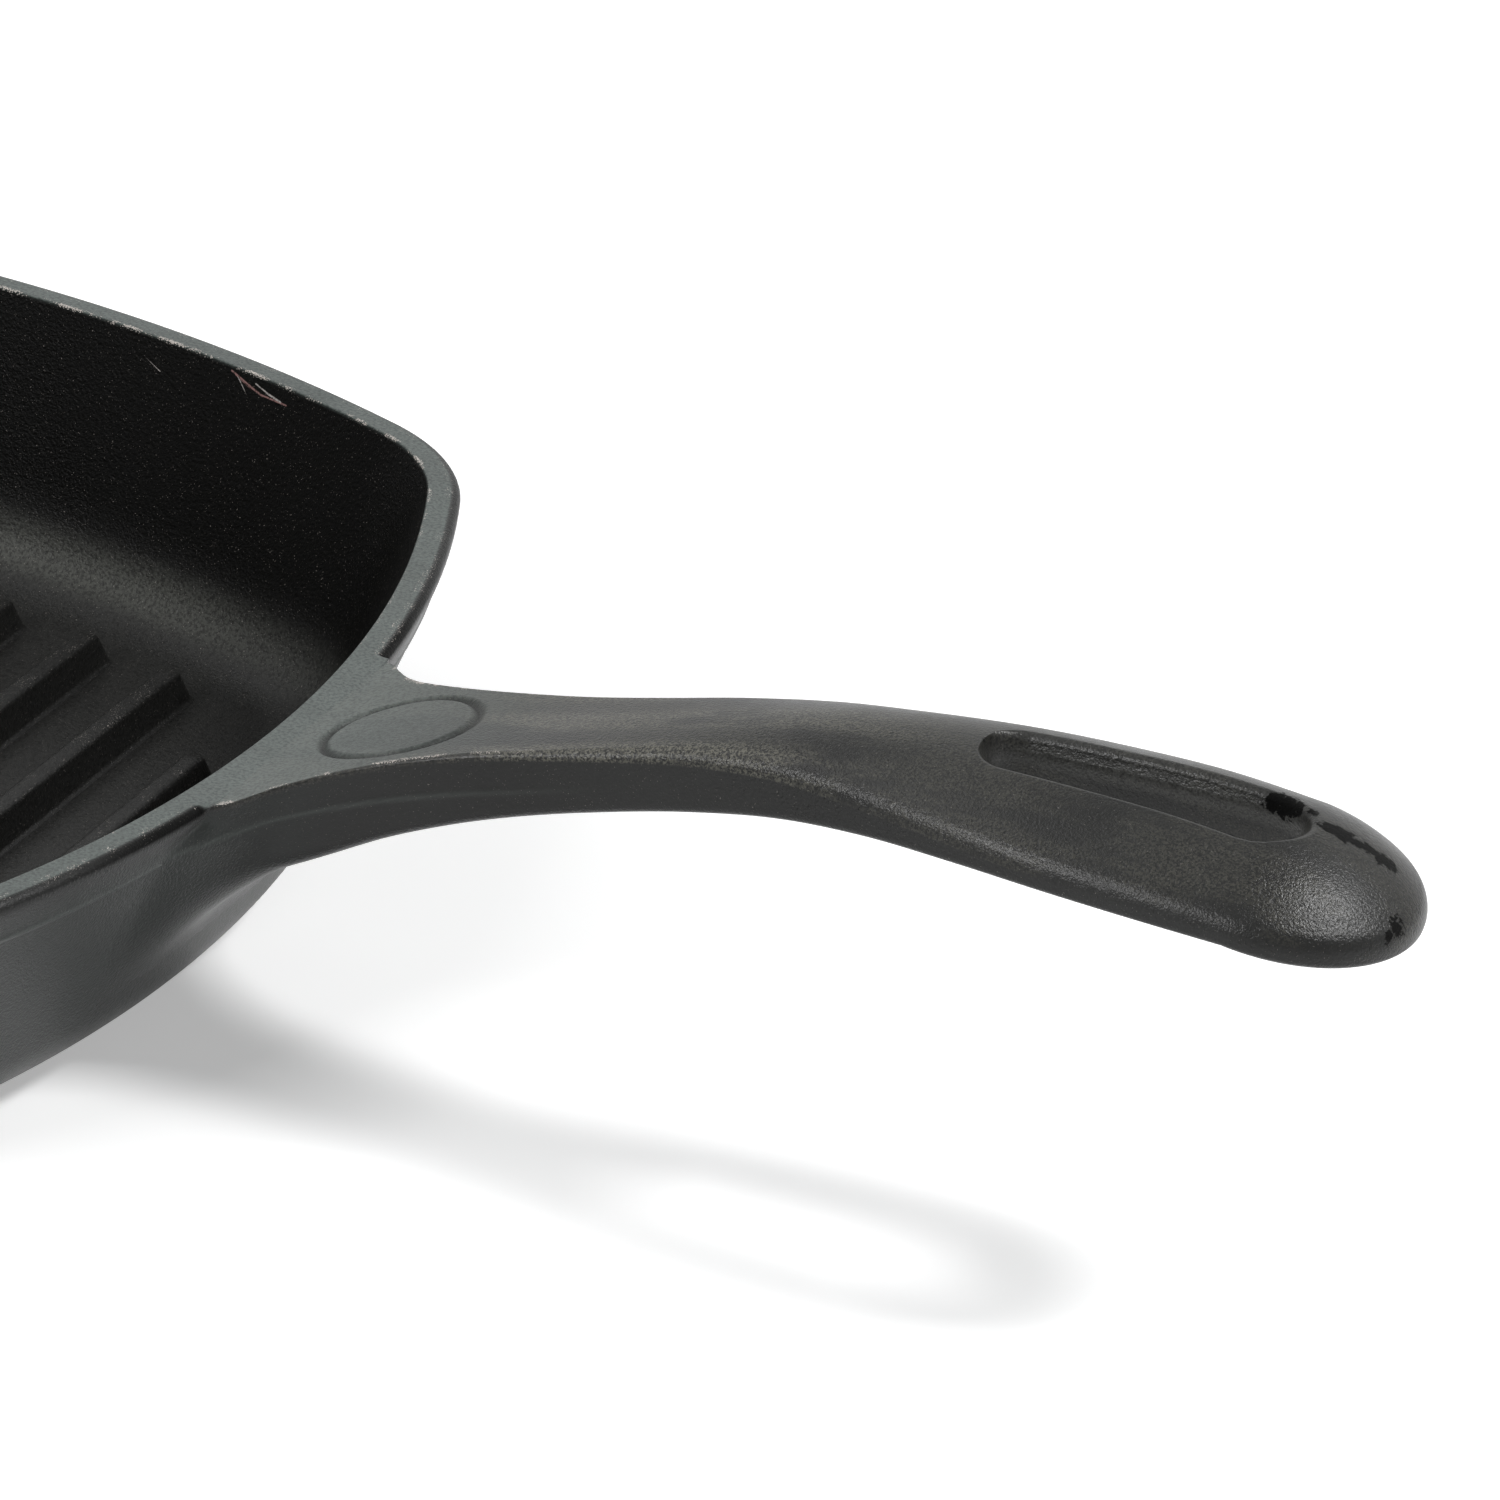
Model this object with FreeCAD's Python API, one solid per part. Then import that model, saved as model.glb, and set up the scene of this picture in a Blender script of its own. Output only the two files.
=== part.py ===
import FreeCAD, Part
import math
import os

# Square ridged frying pan, one casting: a flared tray with a flat ground rim, ridges on the
# floor and a long rising handle with a hanging slot. Millimetres. Z is up, the origin is the
# middle of the face that it rests on, and X runs along the handle.

# tray sizes
pan_width = 266.9
pan_height = 48.0
side_bow_radius = 248.0
pan_corner_radius = 38.0
wall_flare = 20.0
base_edge_radius = 17.5
parting_drop = 7.2

# rim sizes
rim_land = 3.55
rim_edge_radius = 1.7

# floor sizes
floor_thickness = 4.2
floor_fillet_radius = 12.0

# ridge sizes
ridge_count = 11
ridge_side_gap = 8.66
ridge_height = 5.8
ridge_foot_width = 5.4
ridge_top_width = 3.2
ridge_edge_radius = 1.1
ridge_margin = 0.4
ridge_end_slope = 5.0

# handle sizes
handle_reach = 157.3
grip_width = 45.6
handle_rise = 28.6
handle_thickness = 12.2
grip_crown = 7.3
shoulder_radius = 4.6
underside_radius = 4.0
flank_draft = 2.0
tip_tilt = 8.5
root_width = 63.0

# Stations of the handle from inside the wall to the middle of the rounded end. Each row holds
# the place along the reach, then the half width, the height of the top above the rim, the
# thickness, the crown, the shoulder radius, the underside radius, the lean of the wall and the
# tilt of the tip, each as a share of its named size.
station_shares = (
    (-0.045, 2.00, 0.000, 2.70, 0.006, 0.17, 1.00, 1.00, 0.0),
    (-0.022, 1.68, 0.000, 2.30, 0.006, 0.17, 1.00, 1.00, 0.0),
    (-0.008, 1.46, 0.000, 2.05, 0.006, 0.17, 1.00, 1.00, 0.0),
    (0.004, 1.31, 0.010, 1.86, 0.006, 0.17, 1.00, 0.97, 0.0),
    (0.018, 1.19, 0.032, 1.72, 0.006, 0.17, 0.98, 0.91, 0.0),
    (0.036, 1.05, 0.066, 1.61, 0.006, 0.17, 0.95, 0.82, 0.0),
    (0.060, 0.925, 0.112, 1.46, 0.006, 0.17, 0.90, 0.70, 0.0),
    (0.098, 0.79, 0.185, 1.31, 0.006, 0.17, 0.80, 0.52, 0.0),
    (0.143, 0.675, 0.263, 1.14, 0.006, 0.18, 0.68, 0.34, 0.0),
    (0.201, 0.583, 0.354, 1.01, 0.010, 0.21, 0.58, 0.16, 0.0),
    (0.264, 0.540, 0.446, 0.92, 0.025, 0.27, 0.50, 0.04, 0.0),
    (0.340, 0.526, 0.570, 0.90, 0.080, 0.38, 0.44, 0.0, 0.0),
    (0.424, 0.530, 0.710, 0.93, 0.170, 0.55, 0.40, 0.0, 0.0),
    (0.520, 0.598, 0.848, 0.955, 0.420, 0.74, 0.36, 0.0, 0.0),
    (0.616, 0.724, 0.931, 0.954, 0.710, 0.90, 0.33, 0.0, 0.0),
    (0.712, 0.864, 0.975, 0.962, 0.900, 0.97, 0.32, 0.0, 0.0),
    (0.808, 0.960, 0.994, 0.984, 1.050, 1.00, 0.32, 0.0, 0.15),
    (0.904, 0.995, 0.995, 1.01, 1.120, 1.00, 0.32, 0.0, 0.50),
    (1.000, 0.985, 0.956, 0.975, 1.120, 0.95, 0.32, 0.0, 1.00),
)
seam_height_share = 0.21
root_end_share = 0.216
neck_end_share = 0.534

# hanging slot sizes
slot_tip_land = 20.7
slot_length = 50.2
slot_end_width = 14.2
slot_neck_width = 10.8
slot_seam_depth = 4.0
slot_upper_flare = 0.9
slot_lower_flare = 0.4

# ring groove sizes
ring_offset = 16.95
ring_outer_radius = 13.0
ring_groove_width = 1.9
ring_groove_depth = 0.6

# chords that the small rounds are cut into, so that the mesh of the part stays light
rim_edge_steps = 2
wall_edge_steps = 6
foot_steps = 1
shoulder_steps = 4
crown_steps = 3
station_steps = 2

# room that cutting tools run past the faces they cut, and how far apart two faces still match
overrun = 20.0
match = 0.001

pan_half = pan_width / 2
parting_height = pan_height - parting_drop
flare_slope = math.tan(math.radians(wall_flare))
land_half = pan_half - rim_edge_radius
lip_half = land_half + rim_edge_radius / math.tan(math.radians((90 - wall_flare) / 2))
mouth_half = land_half - rim_land
base_half = lip_half - pan_height * flare_slope
floor_half = mouth_half - (pan_height - floor_thickness) * flare_slope
flat_floor_half = floor_half - floor_fillet_radius
ridge_field_half = flat_floor_half - ridge_margin
ridge_span_half = ridge_field_half - ridge_side_gap - ridge_foot_width / 2
ridge_pitch = 2 * ridge_span_half / (ridge_count - 1)
grip_half = grip_width / 2
tip_radius = grip_half * station_shares[-1][1]
slot_start = handle_reach + tip_radius - slot_tip_land - slot_length
ring_x = pan_half + ring_offset


def vec(x, y, z):
    return FreeCAD.Vector(x, y, z)


def arc(start, middle, end):
    return Part.Arc(start, middle, end).toShape()


def line(start, end):
    return Part.makeLine(start, end)


def polar(cx, cy, radius, angle, z):
    return vec(cx + radius * math.cos(angle), cy + radius * math.sin(angle), z)


def tray_arcs():
    """Centres, radii at the parting line and turns of the four sides and four corners."""
    side = pan_half - side_bow_radius
    span = side_bow_radius - pan_corner_radius
    corner = (side + math.sqrt(2 * span ** 2 - side ** 2)) / 2
    meet = math.atan2(corner, corner - side)
    quarter = math.pi / 2
    arcs = []
    for turn in range(4):
        start = quarter * turn
        turned = FreeCAD.Rotation(vec(0, 0, 1), math.degrees(start))
        arcs.append((turned.multVec(vec(side, 0, 0)), side_bow_radius,
                     start - meet, start + meet))
        arcs.append((turned.multVec(vec(corner, corner, 0)), pan_corner_radius,
                     start + meet, start + quarter - meet))
    return arcs


def tray_outline(half, z):
    """Closed outline of the tray at the level where its sides are half apart."""
    edges = []
    for centre, radius, low, high in tray_arcs():
        reach = radius - (pan_half - half)
        edges.append(arc(*[polar(centre.x, centre.y, reach, a, z)
                           for a in (low, (low + high) / 2, high)]))
    return Part.Wire(edges)


def tray_ring(profile):
    """A wall section turned round every side and corner of the tray and joined to one ring."""
    pieces = []
    for centre, radius, low, high in tray_arcs():
        face = profile.copy()
        face.translate(vec(radius - pan_half, 0, 0))
        face.rotate(vec(0, 0, 0), vec(0, 0, 1), math.degrees(low))
        face.translate(centre)
        pieces.append(face.revolve(centre, vec(0, 0, 1), math.degrees(high - low)))
    return pieces[0].fuse(pieces[1:]).removeSplitter()


def prism(wire, height):
    return Part.Face(wire).extrude(vec(0, 0, height))


def ruled_solid(wires):
    return Part.makeLoft(wires, True, True)


def spread(start, end, steps):
    """Values from start to end in equal steps, both ends among them."""
    return [start + (end - start) * i / steps for i in range(steps + 1)]


def profile_face(corners, rounds, steps=0):
    """Face in the XZ plane through corners, some of them rounded by an arc or by its chords."""
    points = [vec(x, 0, z) for x, z in corners]
    edges = []
    ends = []
    for i, point in enumerate(points):
        before, after = points[i - 1], points[(i + 1) % len(points)]
        radius = rounds.get(i, 0)
        to_before = (before - point).normalize()
        to_after = (after - point).normalize()
        angle = to_before.getAngle(to_after)
        setback = radius / math.tan(angle / 2)
        start, end = point + to_before * setback, point + to_after * setback
        ends.append((start, end))
        if not radius:
            continue
        centre = point + (to_before + to_after).normalize() * (radius / math.sin(angle / 2))
        turn = FreeCAD.Rotation(start - centre, end - centre)
        axis, whole = turn.Axis, math.degrees(turn.Angle)
        stops = [centre + FreeCAD.Rotation(axis, a).multVec(start - centre)
                 for a in spread(0, whole, steps or 2)]
        if steps:
            edges += [line(low, high) for low, high in zip(stops, stops[1:])]
        else:
            edges.append(arc(*stops))
    for i in range(len(points)):
        start, end = ends[i - 1][1], ends[i][0]
        if start.distanceToPoint(end) > match:
            edges.append(line(start, end))
    return Part.Face(Part.Wire(Part.__sortEdges__(edges)))


def inner_half(z):
    """Half width of the flared inside at one height, before its floor fillet."""
    return mouth_half - (pan_height - z) * flare_slope


def outer_half(z):
    """Half width of the flared outside at one height, before its edges are rounded."""
    return lip_half - (pan_height - z) * flare_slope


def wall_profile():
    return profile_face([(flat_floor_half, 0), (base_half, 0),
                         (outer_half(parting_height), parting_height),
                         (inner_half(parting_height), parting_height),
                         (floor_half, floor_thickness), (flat_floor_half, floor_thickness)],
                        {1: base_edge_radius, 4: floor_fillet_radius}, wall_edge_steps)


def rim_profile(outer_round):
    return profile_face([(inner_half(parting_height), parting_height),
                         (outer_half(parting_height), parting_height),
                         (lip_half, pan_height), (mouth_half, pan_height)],
                        {2: outer_round}, rim_edge_steps)


def pan_floor():
    return prism(tray_outline(flat_floor_half, 0), floor_thickness)


def pan_wall():
    return tray_ring(wall_profile())


def rim():
    """Rim above the parting line, its outer edge rounded except where the handle joins it."""
    root = Part.makeBox(lip_half, root_width, pan_height, vec(0, -root_width / 2, 0))
    square = tray_ring(rim_profile(0)).common(root)
    return tray_ring(rim_profile(rim_edge_radius)).fuse(square).removeSplitter()


def wall_space():
    """Everything the tray encloses, wall and rim and the room above, that the handle stops at."""
    tray = ruled_solid([tray_outline(base_half, 0), tray_outline(lip_half, pan_height)])
    return tray.fuse(prism(tray_outline(lip_half, pan_height), overrun))


def ridge_span(x):
    """Half the length of the ridge at x, its foot kept inside the flat of the floor."""
    bow = side_bow_radius - (pan_half - ridge_field_half)
    shift = ridge_field_half - bow
    edge = abs(x) + ridge_foot_width / 2
    far_side = shift + math.sqrt(bow ** 2 - edge ** 2)
    end_side = math.sqrt(bow ** 2 - (edge - shift) ** 2)
    return min(far_side, end_side)


def slot_outline(cx, half_length, radius_low, radius_high, z):
    """Two half rounds joined by straight tangents, the low end at minus half_length."""
    lean = math.asin((radius_high - radius_low) / (2 * half_length))
    quarter = math.pi / 2
    points = []
    for end, radius, angles in ((half_length, radius_high, (-quarter - lean, 0, quarter + lean)),
                                (-half_length, radius_low,
                                 (quarter + lean, math.pi, -quarter - lean))):
        points.append([polar(cx + end, 0, radius, a, z) for a in angles])
    return Part.Wire([arc(*points[0]), line(points[0][2], points[1][0]),
                      arc(*points[1]), line(points[1][2], points[0][0])])


def ridge_profile(foot, top):
    """Trapezium of the ridge's height on the floor with its upper corners rounded."""
    crest = floor_thickness + ridge_height
    return profile_face([(-foot, floor_thickness), (foot, floor_thickness), (top, crest),
                         (-top, crest)], {2: ridge_edge_radius, 3: ridge_edge_radius})


def ridge(x):
    """One ridge across the floor: drafted sides and sloping ends, their upper edges rounded."""
    reach = ridge_span(x)
    across = ridge_profile(ridge_foot_width / 2, ridge_top_width / 2)
    along = ridge_profile(reach, reach - ridge_end_slope)
    along.rotate(vec(0, 0, 0), vec(0, 0, 1), 90)
    across.translate(vec(x, -pan_half, 0))
    along.translate(vec(x - ridge_foot_width, 0, 0))
    bar = across.extrude(vec(0, pan_width, 0))
    return bar.common([along.extrude(vec(2 * ridge_foot_width, 0, 0))], match)


def ridge_places():
    """Even places of the ridges, the outer two their gap away from the flat floor's sides."""
    return [ridge_pitch * i - ridge_span_half for i in range(ridge_count)]


def lean_angle(shares):
    """Lean of a section's plane: with the wall at the root, with the drop of the tip at the end."""
    return wall_flare * shares[-2] + tip_tilt * shares[-1]


def section(shares):
    """Cross-section of the handle: flat foot, drafted flanks, round shoulders, crowned top."""
    reach, width, rise, thickness, crown, shoulder, foot = shares[:-2]
    half = grip_half * width
    top = handle_thickness * thickness
    crown_height = grip_crown * crown
    radius = shoulder_radius * shoulder
    foot_radius = underside_radius * foot
    lean = math.radians(flank_draft)
    slope = math.tan(lean)
    seam = (top - crown_height - foot_radius) * seam_height_share + foot_radius
    bow = (half ** 2 + crown_height ** 2) / (2 * crown_height)
    centre = top - bow
    inset = half - (centre - seam) * slope - radius / math.cos(lean)
    span = bow - radius
    square = 1 + slope ** 2
    lift = (inset * slope + math.sqrt((inset * slope) ** 2
            - square * (inset ** 2 - span ** 2))) / square
    side = inset - lift * slope
    crown_angle = math.atan2(lift, side)
    foot_y = half - (seam - foot_radius) * slope - foot_radius / math.cos(lean)
    quarter = math.pi / 2
    edge = [polar(foot_y, foot_radius, foot_radius, a, 0)
            for a in spread(-quarter, -lean, foot_steps)]
    edge += [polar(side, centre + lift, radius, a, 0)
             for a in spread(lean, crown_angle, shoulder_steps)]
    edge += [polar(0, centre, bow, a, 0) for a in spread(crown_angle, quarter, crown_steps)[1:]]
    right = [vec(0, p.x, p.y) for p in edge]
    left = [vec(0, -p.y, p.z) for p in reversed(right[:-1])]
    wire = Part.makePolygon(right + left + right[:1])
    wire.translate(vec(0, 0, -top))
    wire.rotate(vec(0, 0, 0), vec(0, 1, 0), lean_angle(shares))
    wire.translate(vec(pan_half + handle_reach * reach, 0, pan_height + handle_rise * rise))
    return wire


def blend(before, low, high, after, share):
    """Value on the smooth curve through four neighbouring values, between the middle two."""
    start, end = (high - before) / 2, (after - low) / 2
    return (low + start * share + (3 * (high - low) - 2 * start - end) * share ** 2
            + (2 * (low - high) + start + end) * share ** 3)


def stations():
    """The named stations with further ones set on a smooth curve between them."""
    rows = station_shares
    out = []
    for i in range(len(rows) - 1):
        near = (rows[max(i - 1, 0)], rows[i], rows[i + 1], rows[min(i + 2, len(rows) - 1)])
        for step in range(station_steps):
            out.append([blend(*values, step / station_steps) for values in zip(*near)])
    return out + [list(rows[-1])]


def handle_tip():
    """Rounded end: half of the last section turned about that section's middle."""
    last = station_shares[-1]
    face = Part.Face(section(last))
    tilt = math.radians(lean_angle(last))
    base = vec(pan_half + handle_reach * last[0], 0, pan_height + handle_rise * last[2])
    axis = vec(math.sin(tilt), 0, math.cos(tilt))
    half_space = Part.makeBox(2 * pan_width, pan_width, 2 * pan_width, vec(0, 0, -pan_width))
    half = face.common(half_space)
    return half.Faces[0].revolve(base, axis, -math.degrees(math.pi))


def slot_cutter():
    """Hanging slot, drafted up and down from its own parting line."""
    low_r, high_r = slot_neck_width / 2, slot_end_width / 2
    half_length = (slot_length - low_r - high_r) / 2
    cx = pan_half + slot_start + low_r + half_length
    seam = pan_height + handle_rise - slot_seam_depth
    parts = []
    for flare, height in ((slot_upper_flare, overrun), (-slot_lower_flare, -overrun)):
        grow = abs(flare) * overrun / slot_seam_depth
        tight = slot_outline(cx, half_length, low_r, high_r, seam)
        wide = slot_outline(cx, half_length, low_r + grow, high_r + grow, seam + height)
        parts.append(ruled_solid([tight, wide]))
    return parts[0].fuse(parts[1])


def top_slope(x):
    """Slope of the top of the handle at x, read between two stations."""
    share = (x - pan_half) / handle_reach
    for low, high in zip(station_shares, station_shares[1:]):
        if low[0] <= share <= high[0]:
            return math.atan2((high[2] - low[2]) * handle_rise, (high[0] - low[0]) * handle_reach)


def ring_cutter(bar):
    """Top skin of the bar inside a ring that stands square to the rising root."""
    slope = top_slope(ring_x)
    axis = vec(-math.sin(slope), 0, math.cos(slope))
    base = vec(ring_x, 0, pan_height)
    outer = Part.makeCylinder(ring_outer_radius, overrun, base, axis)
    inner = Part.makeCylinder(ring_outer_radius - ring_groove_width, overrun, base, axis)
    sunk = bar.copy()
    sunk.translate(axis * -ring_groove_depth)
    return outer.cut(inner).cut(sunk)


def handle():
    bar = ruled_solid([section(shares) for shares in stations()])
    groove = ring_cutter(bar)
    bar = bar.fuse(handle_tip()).cut(slot_cutter()).cut(groove)
    return bar.cut(wall_space())


def slab(low, high):
    return Part.makeBox(high - low, pan_width, pan_width, vec(low, -pan_half, -pan_half))


def export(shape, name):
    """Write one node, as one solid, and say how it came out."""
    solids = shape.Solids
    solids[0].exportStep(os.path.join("parts", name + ".step"))
    print(name, "solids", len(solids), "valid", shape.isValid(), "volume", round(shape.Volume))


def main():
    os.makedirs("parts", exist_ok=True)
    export(pan_floor(), "pan_floor")
    export(pan_wall(), "pan_wall")
    export(rim(), "rim")
    for number, x in enumerate(ridge_places(), 1):
        export(ridge(x), "ridge_%02d" % number)
    bar = handle()
    joints = [pan_half + handle_reach * share for share in (root_end_share, neck_end_share, 2)]
    export(bar.common(slab(0, joints[0])), "handle_root")
    export(bar.common(slab(joints[0], joints[1])), "handle_neck")
    export(bar.common(slab(joints[1], joints[2])), "handle_grip")


main()
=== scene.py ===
"""Square ridged cast-iron pan on a pale floor.

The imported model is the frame. Its regions are replaced by fine surfaces of the same form: the
tray as one cast shell, eleven ridges, and the handle with its slot. Sizes are in millimetres and
every mesh is written in metres.
"""
import math

import bmesh
import bpy
import numpy as np
from mathutils import Matrix, Vector

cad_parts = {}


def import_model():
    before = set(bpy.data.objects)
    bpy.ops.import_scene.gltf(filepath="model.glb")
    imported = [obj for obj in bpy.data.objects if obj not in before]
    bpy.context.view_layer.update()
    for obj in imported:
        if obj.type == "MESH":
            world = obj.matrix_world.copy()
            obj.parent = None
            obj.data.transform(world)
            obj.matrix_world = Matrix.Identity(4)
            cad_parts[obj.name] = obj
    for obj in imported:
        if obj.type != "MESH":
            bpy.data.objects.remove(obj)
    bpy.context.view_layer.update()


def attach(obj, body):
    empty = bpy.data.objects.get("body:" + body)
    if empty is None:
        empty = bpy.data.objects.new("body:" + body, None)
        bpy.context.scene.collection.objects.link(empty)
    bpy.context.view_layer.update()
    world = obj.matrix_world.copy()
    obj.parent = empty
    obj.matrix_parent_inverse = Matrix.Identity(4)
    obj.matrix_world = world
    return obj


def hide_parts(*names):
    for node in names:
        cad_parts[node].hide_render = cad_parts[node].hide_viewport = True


MM = 0.001
TINY = 1e-4
NO_HALF_WIDTH = 1e-5
WELD_GAP = 2e-6
NO_LENGTH = 1e-7

# tray
PAN_HALF = 133.45
PAN_HEIGHT = 48.0
SIDE_BOW_RADIUS = 248.0
CORNER_RADIUS = 38.0
FLARE = math.radians(20.0)
BASE_EDGE_RADIUS = 17.5
RIM_EDGE_RADIUS = 1.7
RIM_INNER_RADIUS = 0.35
RIM_LAND = 3.55
FLOOR_THICKNESS = 4.2
FLOOR_FILLET = 12.0
SEAM_HEIGHT = 40.8
SEAM_WIDTH = 0.9
SEAM_LIFT = 0.22

# ridges
RIDGE_PITCH = 17.7
RIDGE_COUNT = 11
RIDGE_HEIGHT = 5.8
RIDGE_FOOT = 5.4
RIDGE_TOP = 3.2
RIDGE_MARGIN = 0.4
RIDGE_END_SLOPE = 5.0
RIDGE_EDGE_RADIUS = 1.1
RIDGE_EDGE_OUT = 0.25
RIDGE_FOOT_FILLET = 0.9
RIDGE_SUNK = 1.0

# ends of the ridges: share of the slope that shows, share of the foot fillet that goes round the
# end, length of the round end over its half width, and the power that squares the round off
RIDGE_SLOPE_SHARE = 0.62
RIDGE_FILLET_SHARE = 0.6
RIDGE_END_SHARE = 1.15
RIDGE_END_POWER = 0.6

# handle
HANDLE_REACH = 157.3
GRIP_HALF = 22.8
HANDLE_RISE = 28.6
HANDLE_THICKNESS = 12.2
GRIP_CROWN = 7.3
SHOULDER_RADIUS = 4.6
UNDERSIDE_RADIUS = 4.0
FLANK_DRAFT = math.radians(2.0)
TIP_TILT = math.radians(8.5)
SEAM_SHARE = 0.21
HANDLE_SEAM_DEPTH = 6.6
HANDLE_SEAM_WIDTH = 0.42

# root: where its rows start, lie closest and end, its half width on the rim, how far its top
# stays under the land inside the wall, how much larger its foot arc is, how deep in the wall its
# end is closed, and its round to the wall
ROOT_START = -3.9
ROOT_WALL = 0.8
ROOT_END = 10.0
ROOT_HALF_WIDTH = 31.6
ROOT_EDGE = 0.35
ROOT_UNDER_LAND = 0.012
ROOT_FOOT_GROWTH = 0.8
ROOT_CAP_DEPTH = 1.0
ROOT_FILLET = 10.0
ROOT_FILLET_LEAST = 0.01
ROOT_FILLET_BENEATH = 0.1
WALL_SPREAD = 13.0
WALL_SPREAD_DEPTH = 2.0

# place along the reach, half width, rise, thickness, crown, shoulder, underside, lean, tilt
STATION_SHARES = np.array((
    (-0.045, 1.42, 0.000, 2.70, 0.002, 0.17, 1.00, 1.00, 0.0),
    (-0.022, 1.40, 0.000, 2.30, 0.002, 0.17, 1.00, 1.00, 0.0),
    (-0.008, 1.37, 0.000, 2.05, 0.002, 0.17, 1.00, 1.00, 0.0),
    (0.004, 1.31, 0.010, 1.86, 0.006, 0.17, 1.00, 0.97, 0.0),
    (0.018, 1.19, 0.032, 1.72, 0.006, 0.17, 0.98, 0.91, 0.0),
    (0.036, 1.05, 0.066, 1.61, 0.006, 0.17, 0.95, 0.82, 0.0),
    (0.060, 0.925, 0.112, 1.46, 0.006, 0.17, 0.90, 0.70, 0.0),
    (0.098, 0.79, 0.185, 1.31, 0.006, 0.17, 0.80, 0.52, 0.0),
    (0.143, 0.675, 0.263, 1.14, 0.006, 0.18, 0.68, 0.34, 0.0),
    (0.201, 0.583, 0.354, 1.01, 0.010, 0.21, 0.58, 0.16, 0.0),
    (0.264, 0.540, 0.446, 0.92, 0.025, 0.27, 0.50, 0.04, 0.0),
    (0.340, 0.526, 0.570, 0.90, 0.080, 0.38, 0.44, 0.0, 0.0),
    (0.424, 0.530, 0.710, 0.93, 0.170, 0.55, 0.40, 0.0, 0.0),
    (0.520, 0.598, 0.848, 0.955, 0.420, 0.74, 0.36, 0.0, 0.0),
    (0.616, 0.724, 0.931, 0.954, 0.710, 0.90, 0.33, 0.0, 0.0),
    (0.712, 0.864, 0.975, 0.962, 0.900, 0.97, 0.32, 0.0, 0.0),
    (0.808, 0.960, 0.994, 0.984, 1.050, 1.00, 0.32, 0.0, 0.15),
    (0.904, 0.995, 0.995, 1.01, 1.120, 1.00, 0.32, 0.0, 0.50),
    (1.000, 0.985, 0.956, 0.975, 1.120, 0.95, 0.32, 0.0, 1.00),
))
LAST_STATION = len(STATION_SHARES) - 1

# places along the table: where the rows start, where they are closest, and how far apart at least
TABLE_START = 0.6
RING_START, RING_END = 4.9, 9.2
ROWS_APART = 2e-3

# hanging slot
SLOT_START = 108.858
SLOT_LENGTH = 50.2
SLOT_END_HALF = 7.1
SLOT_NECK_HALF = 5.4
SLOT_SEAM_DEPTH = 4.0
SLOT_UPPER_FLARE = 0.9
SLOT_LOWER_FLARE = 0.4
SLOT_LIP_RADIUS = 1.45
SLOT_MOUTH_DEPTH = 1.0
SLOT_LEAST = 0.02

# ring groove
RING_PLACE = 16.95
RING_RADIUS = 12.1
RING_SLOPE = math.atan(0.352)
RING_GROOVE_HALF = 1.15
RING_GROOVE_DEPTH = 0.85

LAND_HALF = PAN_HALF - RIM_EDGE_RADIUS
LIP_HALF = LAND_HALF + RIM_EDGE_RADIUS / math.tan((math.pi / 2 - FLARE) / 2)
MOUTH_HALF = LAND_HALF - RIM_LAND
BASE_HALF = LIP_HALF - PAN_HEIGHT * math.tan(FLARE)
FLOOR_HALF = MOUTH_HALF - (PAN_HEIGHT - FLOOR_THICKNESS) * math.tan(FLARE)
FLAT_FLOOR_HALF = FLOOR_HALF - FLOOR_FILLET
SIDE_CENTRE = PAN_HALF - SIDE_BOW_RADIUS
RIDGE_DRAFT = (RIDGE_FOOT - RIDGE_TOP) / 2
SLOT_SEAM = PAN_HEIGHT + HANDLE_RISE - SLOT_SEAM_DEPTH
SLOT_NECK_X = PAN_HALF + SLOT_START + SLOT_NECK_HALF
SLOT_END_X = PAN_HALF + SLOT_START + SLOT_LENGTH - SLOT_END_HALF

# Each pair below says where a change of the surface, its finish or its painted light starts and
# where it is full.

# tray, in depths under the rim and in places across it, and ridges, in shares of their height
LAND_OUTSIDE, LAND_INSIDE = (0.04, 0.0), (0.34, 0.04)
# depths under the rim where the outer wall's painted floor light starts and is full
WALL_SHADE = (1.0, 6.0)
STRIP_LOW, STRIP_HIGH = (1.5, 1.0), (0.03, 0.18)
FAR_SIDE = (70.0, 95.0)
NEAR_ROOT = (75.0, 35.0)
RIDGE_CREST = (0.85, 1.0)

# handle, in shares of its reach
WIDE_FOOT = (0.09, 0.01)
UNDER_LAND = (0.0, -0.006)
SEAM_FADE = (0.36, 0.11)
GROUND_FADE = (0.30, 0.0)
EDGE_FADE = (0.34, 0.09)
# where along the reach the painted highlight streaks start and end
SHEEN_START, SHEEN_END = (0.10, 0.22), (0.80, 0.45)
WORN_FROM = -0.012

# warm crumbs on the handle: share, place and width of its two streaks of painted highlight across
# the half width, on the middle of the top and along the shoulder, and the least share of thick oil
# elsewhere
SHEEN_STREAKS = (0.8, 0.12, 0.25), (0.9, 0.86, 0.2)
FILM_LEAST = 0.22

# handle, in shares of the crown, the shoulder and the slot's wall
CROWN_EDGE = (0.93, 1.0)
SHOULDER_EDGE = (0.7, 0.0)
SHOULDER_LAND = (0.35, 0.0)
# above this share of its height the slot's wall is painted lighter, as light with rubbed grain
SLOT_LIT_AND_RUBBED = (0.6, 0.72)

# points of the shoulder and of the slot's wall as shares of the way, and turns of the foot arc
SHOULDER_STEPS = np.linspace(0, 1, 12)[1:]
WALL_STEPS = np.linspace(0, 1, 13)[1:-1]
FOOT_TURNS = np.linspace(-FLANK_DRAFT, -math.pi / 2, 10)

# handle, in half widths of the slot, distances from the wall and depths under the rim
LIP_GROWTH = (0.0, 2.5)
SLOT_OPEN = (SLOT_LEAST, 1.52)
WALL_NEAR = (17.85, 0.85)
FILLET_GROWTH = (1.0, 7.0)

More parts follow.
